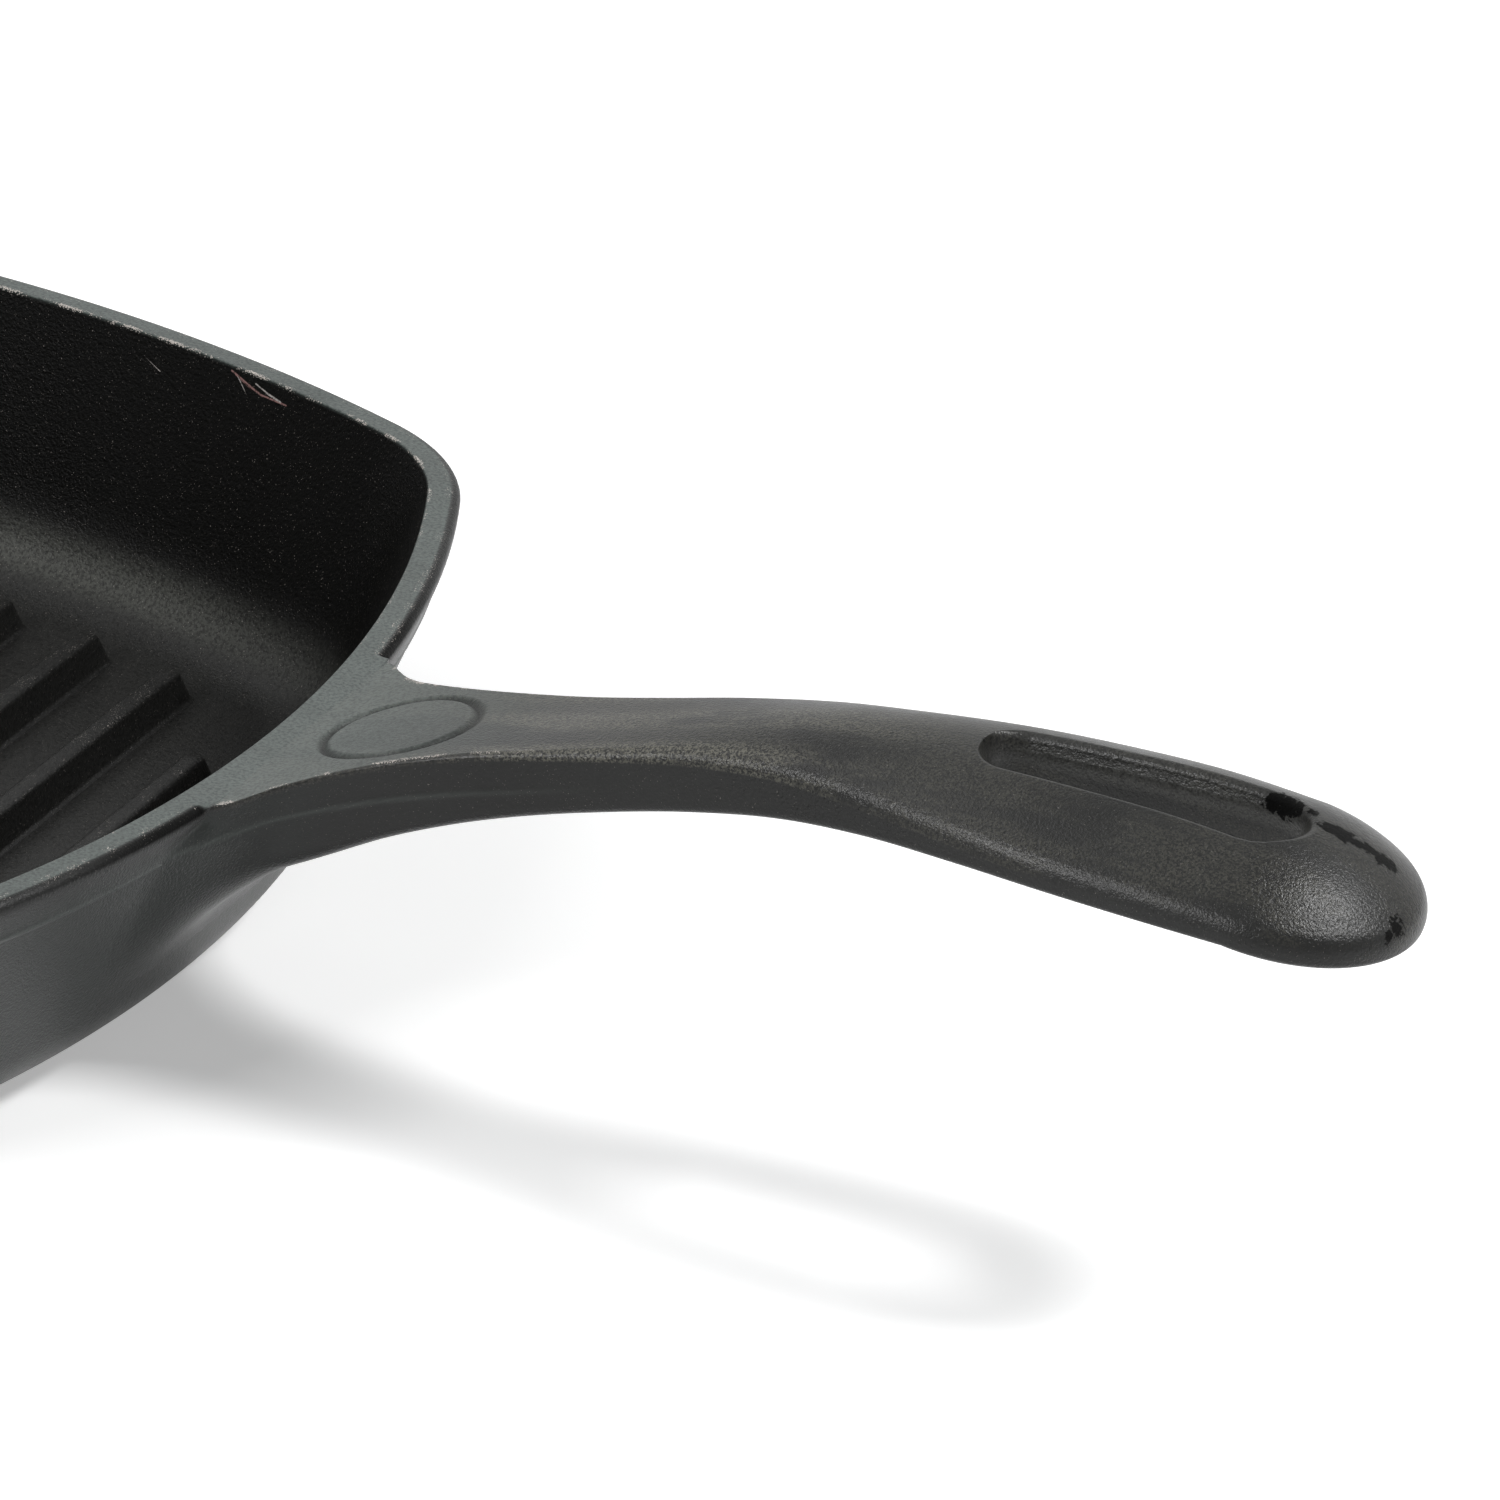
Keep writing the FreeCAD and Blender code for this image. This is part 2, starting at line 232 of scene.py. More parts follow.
# widths of the worn lines on the rim, inside and outside, and of the parting line's mark
WORN_INSIDE, WORN_OUTSIDE = 0.4, 0.3
SEAM_MARK = 0.5

# what counts as the inside of the tray: least depth under the rim, and for the floor the most
# height over it and the least upward share of a face's normal
INSIDE_DEPTH = 0.05
INSIDE_FLOOR = 2.0
NEARLY_LEVEL = 0.9

MARKS = ("ground", "edge", "seam", "slot", "outside", "strip", "groove", "film_and_sheen")


# Meshes


def add_object(name, data):
    """A new object of the scene."""
    made = bpy.data.objects.new(name, data)
    bpy.context.scene.collection.objects.link(made)
    return made


def write_mesh(name, points, quads, marks):
    """One closed surface from points in millimetres and quads, welded. Each point carries the
    shares of the finish and of painted light and shade that the material reads; those not given are
    zero."""
    mesh = bpy.data.meshes.new(name)
    mesh.vertices.add(len(points))
    mesh.vertices.foreach_set("co", (points * MM).astype(np.float32).ravel())
    mesh.loops.add(quads.size)
    mesh.loops.foreach_set("vertex_index", quads.astype(np.int32).ravel())
    mesh.polygons.add(len(quads))
    mesh.polygons.foreach_set("loop_start", np.arange(0, quads.size, 4, dtype=np.int32))
    mesh.update(calc_edges=True)
    for mark in MARKS:
        values = marks.get(mark, np.zeros(len(points)))
        layer = mesh.attributes.new(mark, "FLOAT", "POINT")
        layer.data.foreach_set("value", values.astype(np.float32).ravel())
    weld = bmesh.new()
    weld.from_mesh(mesh)
    bmesh.ops.remove_doubles(weld, verts=weld.verts, dist=WELD_GAP)
    bmesh.ops.dissolve_degenerate(weld, edges=weld.edges, dist=NO_LENGTH)
    bmesh.ops.recalc_face_normals(weld, faces=weld.faces)
    weld.to_mesh(mesh)
    weld.free()
    mesh.polygons.foreach_set("use_smooth", np.ones(len(mesh.polygons), dtype=bool))
    return add_object(name, mesh)


def grid_quads(rows, columns):
    """Quads between neighbours of a grid of points numbered row by row, closed along each row."""
    ids = np.arange(rows * columns).reshape(rows, columns)
    ids = np.hstack([ids, ids[:, :1]])
    corners = [ids[:-1, :-1], ids[1:, :-1], ids[1:, 1:], ids[:-1, 1:]]
    return np.stack(corners, axis=-1).reshape(-1, 4)


def sweep(start, end, steps):
    return np.linspace(start, end, steps + 1)


def blend(value, none, full):
    """0 up to one limit and 1 from the other, with a smooth step between: three times the share
    squared less twice the share cubed."""
    share = np.clip((value - none) / (full - none), 0, 1)
    return share * share * (3 - 2 * share)


def leg(long_side, side):
    """Other leg of a right triangle: the root of the difference of the squares, or zero."""
    return np.sqrt(np.maximum(long_side ** 2 - side ** 2, 0))


def flared_wall(y, z):
    """Place of the tray's outer wall along the handle: back by the flare and by the bow."""
    return LIP_HALF - (PAN_HEIGHT - z) * math.tan(FLARE) - y ** 2 / (2 * SIDE_BOW_RADIUS)


def hump(value, width):
    """Bell curve: e to the power of minus the square of the value over the width."""
    return np.exp(-(value / width) ** 2)


# Tray


def fillet(corner, before, after, radius, steps):
    """Points of the arc that rounds a corner between its two neighbours: each lies one radius
    from the centre, which stands on the corner's half angle."""
    corner, before, after = (np.array(p, float) for p in (corner, before, after))
    back = (before - corner) / np.linalg.norm(before - corner)
    on = (after - corner) / np.linalg.norm(after - corner)
    half = math.acos(np.clip(back @ on, -1, 1)) / 2
    centre = corner + (back + on) / np.linalg.norm(back + on) * radius / math.sin(half)
    first = corner + back * radius / math.tan(half) - centre
    last = corner + on * radius / math.tan(half) - centre
    turn = math.pi - 2 * half
    share = sweep(0, 1, steps)[:, None]
    spokes = first * np.sin((1 - share) * turn) + last * np.sin(share * turn)
    return centre + spokes / math.sin(turn)


def line_points(start, end, steps):
    """Points strictly between two ends, evenly spaced."""
    share = sweep(0, 1, steps)[1:-1, None]
    return np.array(start) * (1 - share) + np.array(end) * share


def parting_bead():
    """The flare by the parting line, lifted square to itself by a squared cosine."""
    across = sweep(-1, 1, 10)
    heights = SEAM_HEIGHT + SEAM_WIDTH * across
    flare = np.stack([flared_wall(0, heights), heights], axis=1)
    out = np.array((math.cos(FLARE), -math.sin(FLARE)))
    return flare + out * (SEAM_LIFT * np.cos(across * math.pi / 2) ** 2)[:, None]


def tray_profile():
    """Half section of the tray as half width and height, from the middle of the underside round
    the base edge, up the flare, over the rim and down inside to the middle of the floor. The
    parting line stands proud of the flare as a small round bead. The second section is the same
    with its lip left square, for the stretch that the handle's root covers."""
    under, middle = (TINY, 0), (TINY, FLOOR_THICKNESS)
    base, lip = (BASE_HALF, 0.0), (LIP_HALF, PAN_HEIGHT)
    mouth, corner = (MOUTH_HALF, PAN_HEIGHT), (FLOOR_HALF, FLOOR_THICKNESS)
    base_edge = fillet(base, (0.0, 0.0), lip, BASE_EDGE_RADIUS, 20)
    lip_edge = fillet(lip, base, mouth, RIM_EDGE_RADIUS, 10)
    mouth_edge = fillet(mouth, lip, corner, RIM_INNER_RADIUS, 5)
    floor_edge = fillet(corner, mouth, (0.0, FLOOR_THICKNESS), FLOOR_FILLET, 18)
    seam = parting_bead()
    by_middle = line_points(under, base_edge[0], 40)[:1]
    by_mouth = line_points(mouth_edge[-1], floor_edge[0], 100)[:2]
    before = [by_middle, line_points(under, base_edge[0], 16), base_edge,
              line_points(base_edge[-1], seam[0], 18), seam, line_points(seam[-1], lip_edge[0], 4)]
    after = [line_points(lip_edge[-1], mouth_edge[0], 6), mouth_edge, by_mouth,
             line_points(mouth_edge[-1], floor_edge[0], 24), floor_edge,
             line_points(floor_edge[-1], middle, 16)]
    half = len(lip_edge) // 2
    square_edge = np.vstack([np.linspace(lip_edge[0], lip, half + 1),
                             np.linspace(lip, lip_edge[-1], len(lip_edge) - half)[1:]])
    return np.vstack(before + [lip_edge] + after), np.vstack(before + [square_edge] + after)


def outline(half, side_steps=72, corner_steps=30):
    """Bowed square of eight arcs for each half width, on shared centres: sides of the bow radius
    and corners of the corner radius, both less by what the half width is under the pan's own.
    Inside the flat floor, where the corners would turn over, the outline shrinks evenly."""
    span = SIDE_BOW_RADIUS - CORNER_RADIUS
    corner = (SIDE_CENTRE + math.sqrt(2 * span ** 2 - SIDE_CENTRE ** 2)) / 2
    meet = math.atan2(corner, corner - SIDE_CENTRE)
    root_edge = ROOT_HALF_WIDTH + np.array((-ROOT_EDGE, 0.0, ROOT_EDGE))
    root_ends = np.arcsin(root_edge / SIDE_BOW_RADIUS)
    side_turn = np.sort(np.concatenate([sweep(-meet, meet, side_steps)[:-1], root_ends,
                                        -root_ends]))
    corner_turn = sweep(meet, math.pi / 2 - meet, corner_steps)[:-1]
    turns = np.concatenate([side_turn, corner_turn])
    on_side = np.arange(len(turns)) < len(side_turn)
    centre_x = np.where(on_side, SIDE_CENTRE, corner)
    centre_y = np.where(on_side, 0.0, corner)
    radii = np.where(on_side, SIDE_BOW_RADIUS, CORNER_RADIUS)
    safe = np.maximum(half, FLAT_FLOOR_HALF)[:, None]
    reach = radii - (PAN_HALF - safe)
    shrink = (half / safe[:, 0])[:, None]
    x = (centre_x + reach * np.cos(turns)) * shrink
    y = (centre_y + reach * np.sin(turns)) * shrink
    return np.concatenate([x, -y, -x, y], axis=1), np.concatenate([y, x, -y, -x], axis=1)


def end_cap(first, columns):
    """Strips of quads that close a ring of points, from each point to the one across from it."""
    ring = first + np.arange(columns)
    near, far = ring[:columns // 2], ring[columns // 2:][::-1]
    return np.stack([near[:-1], near[1:], far[1:], far[:-1]], axis=1)


def tray_marks(profile, x, y, z, at_root):
    """Shares of the finish and of painted light. The land is ground on top, its two edges are worn
    to bare grain, the parting line is a little paler, the as-cast round outside the land holds
    burnt oil, most of all by the handle's root, and the wall below is painted a little lighter, as
    light bounced from the floor."""
    depth = PAN_HEIGHT - z
    order = np.broadcast_to(np.arange(len(profile))[:, None], x.shape)
    lip_end, land_end = (int(np.argmin(np.abs(profile - (half, PAN_HEIGHT)).sum(axis=1)))
                         for half in (LAND_HALF, MOUTH_HALF + RIM_INNER_RADIUS))
    inner = order > (lip_end + land_end) / 2
    near_root = blend(np.abs(y), *NEAR_ROOT) * (x > 0)
    on_edges = (order <= lip_end + 1) | (order >= land_end)
    line = hump(depth, np.where(inner, WORN_INSIDE, WORN_OUTSIDE)) * on_edges * (1 - at_root)
    strip = blend(depth, *STRIP_LOW) * blend(depth, *STRIP_HIGH) * (1 - at_root)
    return {
        "ground": np.where(inner, blend(depth, *LAND_INSIDE), blend(depth, *LAND_OUTSIDE)),
        "edge": line * np.where(inner, 0.3 + 0.7 * blend(y, *FAR_SIDE), 0.22 + 0.1 * near_root),
        "seam": hump(z - SEAM_HEIGHT, SEAM_MARK) * (order <= lip_end),
        "outside": blend(depth, *WALL_SHADE) * (order < lip_end),
        "strip": strip * (0.35 + 0.65 * near_root) * (order <= lip_end),
    }


def tray():
    """The tray's profile carried round the bowed outline: each profile point gives the half
    width of its ring and its height."""
    profile, squared = tray_profile()
    x, y = outline(profile[:, 0])
    square_x, square_y = outline(squared[:, 0])
    z = np.broadcast_to(profile[:, 1:2], x.shape)
    at_root = blend(np.abs(square_y), ROOT_HALF_WIDTH + ROOT_EDGE, ROOT_HALF_WIDTH - ROOT_EDGE)
    at_root = at_root * (square_x > 0)
    x = x + (square_x - x) * at_root
    y = y + (square_y - y) * at_root
    z = z + (squared[:, 1:2] - z) * at_root
    rows, columns = x.shape
    quads = [grid_quads(rows, columns), end_cap(0, columns), end_cap((rows - 1) * columns, columns)]
    piece = write_mesh("tray_casting", np.stack([x, y, z], axis=-1).reshape(-1, 3),
                       np.vstack(quads), tray_marks(profile, x, y, z, at_root))
    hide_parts("pan_floor", "pan_wall", "rim")
    return piece


def inner_faces(mesh):
    """1 for each face of the tray's inside below its mouth, else 0."""
    count = len(mesh.polygons)
    centres, normals = np.empty(count * 3), np.empty(count * 3)
    mesh.polygons.foreach_get("center", centres)
    mesh.polygons.foreach_get("normal", normals)
    centres, normals = centres.reshape(-1, 3) / MM, normals.reshape(-1, 3)
    below = centres[:, 2] < PAN_HEIGHT - INSIDE_DEPTH
    inward = (centres[:, :2] * normals[:, :2]).sum(axis=1) < 0
    flat = (normals[:, 2] > NEARLY_LEVEL) & (centres[:, 2] < FLOOR_THICKNESS + INSIDE_FLOOR)
    return (below & ((inward & (normals[:, 2] > 0)) | flat)).astype(np.int32)


# Ridges


def ridge_reach(x):
    """Half length of the ridge at x: its foot's corners stay inside the flat floor's outline."""
    field = FLAT_FLOOR_HALF - RIDGE_MARGIN
    bow = SIDE_BOW_RADIUS - (PAN_HALF - field)
    shift = field - bow
    edge = abs(x) + RIDGE_FOOT / 2
    return min(shift + math.sqrt(bow ** 2 - edge ** 2),
               math.sqrt(bow ** 2 - (edge - shift) ** 2))


def ridge_levels():
    """Inset of the ridge's outline and its height, from under the floor up the flank: a small
    concave fillet at the foot, a straight drafted flank and a round upper edge."""
    turn = sweep(0, math.pi / 2 - math.atan2(RIDGE_DRAFT, RIDGE_HEIGHT), 6)
    foot_inset = -RIDGE_FOOT_FILLET * (1 - np.sin(turn))
    foot_height = RIDGE_FOOT_FILLET * (1 - np.cos(turn))
    crest = sweep(0, math.pi / 2, 8)
    edge_inset = RIDGE_DRAFT + RIDGE_EDGE_RADIUS * (1 - np.cos(crest)) - RIDGE_EDGE_OUT
    edge_height = RIDGE_HEIGHT - RIDGE_EDGE_RADIUS + RIDGE_EDGE_RADIUS * np.sin(crest)
    rise = sweep(0, 1, 4)[1:-1]
    flank_inset = foot_inset[-1] + (edge_inset[0] - foot_inset[-1]) * rise
    flank_height = foot_height[-1] + (edge_height[0] - foot_height[-1]) * rise
    inset = np.concatenate([[-RIDGE_FOOT_FILLET], foot_inset, flank_inset, edge_inset])
    height = np.concatenate([[-RIDGE_SUNK], foot_height, flank_height, edge_height])
    return inset, height


def ridge_rings(half, long_half):
    """Long outline with squared-off round ends for each half width and half length. A point of
    the end lies at the powers of the cosine and sine of its turn."""
    turn = sweep(0, math.pi / 2, 8)
    half = half[:, None]
    end = half * RIDGE_END_SHARE
    straight = long_half[:, None] - end
    bend_x = half * np.cos(turn) ** RIDGE_END_POWER
    bend_y = straight + end * np.sin(turn) ** RIDGE_END_POWER
    side_y = straight * sweep(-1, 1, 60)[1:-1]
    side_x = np.broadcast_to(half, side_y.shape)
    x = np.hstack([side_x, bend_x, -bend_x[:, -2::-1], -side_x, -bend_x, bend_x[:, -2::-1]])
    y = np.hstack([side_y, bend_y, bend_y[:, -2::-1], -side_y, -bend_y, -bend_y[:, -2::-1]])
    return x, y


def ridge(number, x):
    """A long rounded outline repeated level by level: the half width is the foot's half less the
    inset, and the half length less the same inset grown to the longer slope of the ends. Both
    ends of the stack close onto the ridge's middle line."""
    inset, height = ridge_levels()
    slope = RIDGE_END_SLOPE / RIDGE_DRAFT * RIDGE_SLOPE_SHARE
    long_inset = inset * np.where(inset > 0, slope, RIDGE_FILLET_SHARE)
    ring_x, ring_y = ridge_rings(RIDGE_FOOT / 2 - inset, ridge_reach(x) - long_inset)
    z = np.broadcast_to((FLOOR_THICKNESS + height)[:, None], ring_x.shape)
    rings = np.stack([ring_x, ring_y, z], axis=-1)
    crown = rings[-1] * (0.5, 1, 1)
    layers = np.stack([rings[0] * (0, 1, 1), *rings, crown, crown * (0, 1, 1)])
    layers = layers + (x, 0, 0)
    rows, columns = layers.shape[:2]
    level = (layers[..., 2] - FLOOR_THICKNESS) / RIDGE_HEIGHT
    piece = write_mesh("cooking_ridge_%02d" % number, layers.reshape(-1, 3),
                       grid_quads(rows, columns),
                       {"edge": 0.15 * blend(level, *RIDGE_CREST), "film_and_sheen": np.ones(rows * columns)})
    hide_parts("ridge_%02d" % number)
    return piece


# Handle


def station_values(place):
    """Shares at places along the table, on the smooth curve through four neighbouring rows."""
    low = np.clip(np.floor(place).astype(int), 0, LAST_STATION - 1)
    share = (place - low)[:, None]
    before, start = STATION_SHARES[np.maximum(low - 1, 0)], STATION_SHARES[low]
    end, after = STATION_SHARES[low + 1], STATION_SHARES[np.minimum(low + 2, LAST_STATION)]
    leave, arrive = (end - before) / 2, (after - start) / 2
    return (start + leave * share + (3 * (end - start) - 2 * leave - arrive) * share ** 2
            + (2 * (start - end) + leave + arrive) * share ** 3)


def slot_growth(z):
    """How much wider the slot is at height z than at its own parting line."""
    flare = np.where(z > SLOT_SEAM, SLOT_UPPER_FLARE, -SLOT_LOWER_FLARE)
    return (z - SLOT_SEAM) * flare / SLOT_SEAM_DEPTH


def slot_half(x, z):
    """Half width of the slot at x and height z: two rounds joined by their tangents, both
    growing away from the slot's own parting line."""
    small, large = SLOT_NECK_HALF + slot_growth(z), SLOT_END_HALF + slot_growth(z)
    lean = math.asin((SLOT_END_HALF - SLOT_NECK_HALF) / (SLOT_END_X - SLOT_NECK_X))
    straight = small / math.cos(lean) + (x - SLOT_NECK_X) * math.tan(lean)
    by_neck = x < SLOT_NECK_X - small * math.sin(lean)
    by_end = x > SLOT_END_X - large * math.sin(lean)
    inside = np.where(by_neck, leg(small, x - SLOT_NECK_X), straight)
    return np.where(by_end, leg(large, x - SLOT_END_X), inside)


def slot_ray(x, z, turn):
    """Distance from the middle of the tip to the slot's round end, along a ray turned from the
    handle's side towards its tip."""
    ahead = x - SLOT_END_X
    radius = SLOT_END_HALF + slot_growth(z)
    return leg(radius, ahead * np.cos(turn)) - ahead * np.sin(turn)


def handle_rows():
    """Places along the table of stations, closer together by the wall, at the ring and where the
    slot starts, then the turns of the rounded end."""
    table = sweep(TABLE_START, LAST_STATION, 2400)
    reach = station_values(table)[:, 0] * HANDLE_REACH
    near_wall = [sweep(ROOT_START, ROOT_WALL, 46), sweep(ROOT_WALL, ROOT_END, 24)]
    base = np.unique(np.concatenate([np.interp(np.concatenate(near_wall), reach, table),
                                     sweep(RING_START, RING_END, 66),
                                     sweep(RING_END, LAST_STATION, 60)]))
    base = base[np.append(True, np.diff(base) > ROWS_APART)]
    radii = SLOT_NECK_HALF + SLOT_UPPER_FLARE * np.array((1.0, 0.5, 0.0))[:, None]
    slot_start = SLOT_START + SLOT_NECK_HALF - radii * np.cos(sweep(0, math.pi / 2, 12))
    near_slot = np.interp(slot_start.ravel(), reach, table)
    place = np.unique(np.concatenate([base, near_slot]).round(5))
    turn = sweep(0, math.pi / 2, 40)[1:]
    places = np.concatenate([place, np.full(len(turn), place[-1])])
    return places, np.concatenate([np.zeros(len(place)), turn])


class HandleSections:
    """One side of the handle as a closed section at each row. Its parts in order are the slot's
    lip, the crown arc, the shoulder arc, the drafted flank, the foot arc, the flat sole and,
    where the slot is open, the slot's wall. Every size is a column with one value for each row,
    and heights are above the sole."""

    def __init__(self, places, turns):
        shares = station_values(places).T[:, :, None]
        self.reach, width, rise, thickness, crown, shoulder, foot, lean, tilt = shares
        self.turn = turns[:, None]
        self.half, self.top = GRIP_HALF * width, HANDLE_THICKNESS * thickness
        self.crown_height, self.shoulder = GRIP_CROWN * crown, SHOULDER_RADIUS * shoulder
        wide = 1 + ROOT_FOOT_GROWTH * blend(self.reach, *WIDE_FOOT)
        self.foot = UNDERSIDE_RADIUS * foot * wide
        self.lean = FLARE * lean + TIP_TILT * tilt
        self.base_x = PAN_HALF + HANDLE_REACH * self.reach
        self.base_z = PAN_HEIGHT + HANDLE_RISE * rise
        self.mouth = self.opening(self.top - SLOT_MOUTH_DEPTH)
        self.parts = self.outline()
        self.across = np.hstack([y for y, z in self.parts.values()])
        self.up = np.hstack([z for y, z in self.parts.values()]) - self.top

    def opening(self, z):
        """Half width of the slot at height z of each section."""
        x = self.base_x + (z - self.top) * np.sin(self.lean)
        level = self.base_z + (z - self.top) * np.cos(self.lean)
        return np.where(self.turn > 0, slot_ray(x, level, self.turn), slot_half(x, level))

    def arcs(self):
        """Radius and centre height of the crown, place of the shoulder's centre and its height
        over the crown's, and place of the foot's centre. The crown's radius is its half width
        squared plus its height squared, over twice the height. The shoulder's centre lies one
        radius inside the drafted flank, and as far from the crown's as their radii differ."""
        slope = math.tan(FLANK_DRAFT)
        seam = (self.top - self.crown_height - self.foot) * SEAM_SHARE + self.foot
        bow = (self.half ** 2 + self.crown_height ** 2) / (2 * self.crown_height)
        centre = self.top - bow
        inset = self.half - (centre - seam) * slope - self.shoulder / math.cos(FLANK_DRAFT)
        square = 1 + slope ** 2
        root = (inset * slope) ** 2 - square * (inset ** 2 - (bow - self.shoulder) ** 2)
        lift = (inset * slope + np.sqrt(root)) / square
        foot_y = self.half - (seam - self.foot) * slope - self.foot / math.cos(FLANK_DRAFT)
        return bow, centre, inset - lift * slope, lift, foot_y

    def outline(self):
        """Half widths and heights of each part's points. The flank carries the parting line as a
        small bead."""
        bow, centre, side, lift, foot_y = self.arcs()
        meet = np.arctan2(lift, side)
        self.crown_end = bow * np.cos(meet)
        lip = SLOT_LIP_RADIUS * blend(self.mouth, *LIP_GROWTH)
        start = np.minimum(self.mouth + lip, self.crown_end)
        quarter = sweep(0, 1, 6)[::-1] * math.pi / 2
        lip_y = start - lip * np.sin(quarter)
        lip_z = centre + np.sqrt(bow ** 2 - start ** 2) - lip * (1 - np.cos(quarter))
        crown_y = start + (self.crown_end - start) * sweep(0, 1, 72)[1:]
        turns = FLANK_DRAFT + (meet - FLANK_DRAFT) * (1 - SHOULDER_STEPS)
        shoulder_y = side + self.shoulder * np.cos(turns)
        shoulder_z = centre + lift + self.shoulder * np.sin(turns)
        foot_y = foot_y + self.foot * np.cos(FOOT_TURNS)
        foot_z = self.foot + self.foot * np.sin(FOOT_TURNS)
        down = sweep(0, 1, 22)[1:-1]
        flank_y = shoulder_y[:, -1:] * (1 - down) + foot_y[:, :1] * down
        flank_z = shoulder_z[:, -1:] * (1 - down) + foot_z[:, :1] * down
        self.bead = hump(self.top - flank_z - HANDLE_SEAM_DEPTH, HANDLE_SEAM_WIDTH)
        self.bead = self.bead * blend(self.reach, *SEAM_FADE)
        inward = self.opening(0) - foot_y[:, -1:]
        sole_y = foot_y[:, -1:] + inward * sweep(0, 1, 9)[1:]
        wall_z = lip_z[:, :1] * WALL_STEPS
        wall_y = np.where(self.mouth > SLOT_LEAST, self.opening(wall_z), 0)
        return {
            "lip": (lip_y, lip_z),
            "crown": (crown_y, centre + np.sqrt(bow ** 2 - crown_y ** 2)),
            "shoulder": (shoulder_y, shoulder_z),
            "flank": (flank_y + self.bead * SEAM_LIFT, flank_z),
            "foot": (foot_y, foot_z),
            "sole": (sole_y, 0 * sole_y),
            "wall": (wall_y, wall_z),
        }

    def along(self, **values):
        """The given values on the parts that are named, and zero on the others."""
        return np.hstack([values.get(name, 0) + 0 * part[0] for name, part in self.parts.items()])

    def points(self):
        """Each section leans by its station's angle, and round the tip it is turned about the
        last station's middle. Inside the wall it lies a little under the ground land."""
        out = self.across * np.sin(self.turn)
        x = self.base_x + out * np.cos(self.lean) + self.up * np.sin(self.lean)
        z = self.base_z - out * np.sin(self.lean) + self.up * np.cos(self.lean)
        z = z - ROOT_UNDER_LAND * blend(self.reach, *UNDER_LAND)
        return x, self.across * np.cos(self.turn), z

    def film_and_sheen(self):
        """Share of warm crumbs: a least share of thick dried oil everywhere, and painted highlight
        streaks on the middle of the top and along the shoulder.
        """
        lengthways = blend(self.reach, *SHEEN_START) * blend(self.reach, *SHEEN_END)
        middle, shoulder = (share * hump(self.across / self.half - place, width)
                            for share, place, width in SHEEN_STREAKS)
        return np.maximum(lengthways * np.maximum(middle, shoulder), FILM_LEAST)

    def worn(self):
        """Share of bare grain on the edges. It is most on the root and little on the grip."""
        crown = blend(self.parts["crown"][0] / self.crown_end, *CROWN_EDGE)
        shoulder = blend(SHOULDER_STEPS, *SHOULDER_EDGE)
        edge = self.along(lip=0.3, crown=crown, shoulder=shoulder)
        on_root = 0.06 + 0.94 * blend(self.reach, *EDGE_FADE)
        return edge * on_root * (self.reach > WORN_FROM)


def wall_fillet(x, y, z, face):
    """Round between the root and the flared wall. At a point whose surface faces by an angle
    below level, the radius grows with the depth under the rim and is a little larger underneath.
    The swell is that of a quarter circle at the point's distance from the wall, so that it ends
    along the wall, and behind the wall it goes on in proportion to the depth there. The second
    value is how far the point goes back with the wall's bow and flare."""
    wall = flared_wall(y, z)
    beneath = blend(face, 0, -math.pi / 2)
    grown = blend(PAN_HEIGHT - z, *FILLET_GROWTH)
    radius = ROOT_FILLET_LEAST + ROOT_FILLET * grown * (1 + ROOT_FILLET_BENEATH * beneath)
    near = np.clip(1 - (x - wall) / radius, 0, 1)
    swell = radius * (1 - leg(1, near))
    behind = np.clip(wall - x, 0, WALL_SPREAD_DEPTH)
    swell = swell + WALL_SPREAD * grown * behind * (1 - beneath)
    bow = ((y + swell * np.cos(face)) ** 2 - y ** 2) / (2 * SIDE_BOW_RADIUS)
    return swell, near * (bow - swell * np.sin(face) * math.tan(FLARE))


def ring_groove(x, y, z):
    """Share of the groove's depth: a cosine of the distance from the ring's radius, measured
    square to the rising root."""
    along = (x - PAN_HALF - RING_PLACE) * math.cos(RING_SLOPE)
    along = along + (z - PAN_HEIGHT) * math.sin(RING_SLOPE)
    away = np.clip(np.abs(np.hypot(along, y) - RING_RADIUS) / RING_GROOVE_HALF, 0, 1)
    return 0.5 + 0.5 * np.cos(away * math.pi)


def handle_half():
    """Points of one side of the handle, row by row, and the shares of its finish and painted light.
    Near the tray the lower parts swell into the wall, and the top carries the ring's groove."""
    sections = HandleSections(*handle_rows())
    x, y, z = sections.points()
    face = sections.along(foot=FOOT_TURNS, sole=-math.pi / 2)
    lower = sections.along(flank=1, foot=1, sole=1)
    swell, recede = wall_fillet(x, y, z, face)
    from_wall = x - flared_wall(y, z)
    x = x - recede * lower
    y = y + swell * lower * np.cos(face)
    z = z + swell * lower * np.sin(face)
    groove = ring_groove(x, y, z) * sections.along(lip=1, crown=1)
    upper = sections.along(lip=1, crown=1, shoulder=blend(SHOULDER_STEPS, *SHOULDER_LAND))
    # the slot's lip is painted lighter as a highlight, and the upper part of its wall as light with
    # rubbed grain
    slot = sections.along(lip=0.35, wall=blend(WALL_STEPS, *SLOT_LIT_AND_RUBBED))
    marks = {
        "ground": upper * blend(sections.reach, *GROUND_FADE),
        "edge": sections.worn(),
        "seam": sections.along(flank=sections.bead),
        "slot": slot * blend(sections.mouth, *SLOT_OPEN),
        # the groove's share also paints shade into it
        "groove": groove,
        # by the wall the lower parts take the wall's colour, painted lighter as light bounced from
        # the floor
        "outside": lower * blend(from_wall, *WALL_NEAR),
        # warm crumbs of thick oil, crowding into painted highlight streaks
        "film_and_sheen": sections.film_and_sheen() * (1 - lower),
    }
    return np.stack([x, y, z - RING_GROOVE_DEPTH * groove], axis=-1), marks


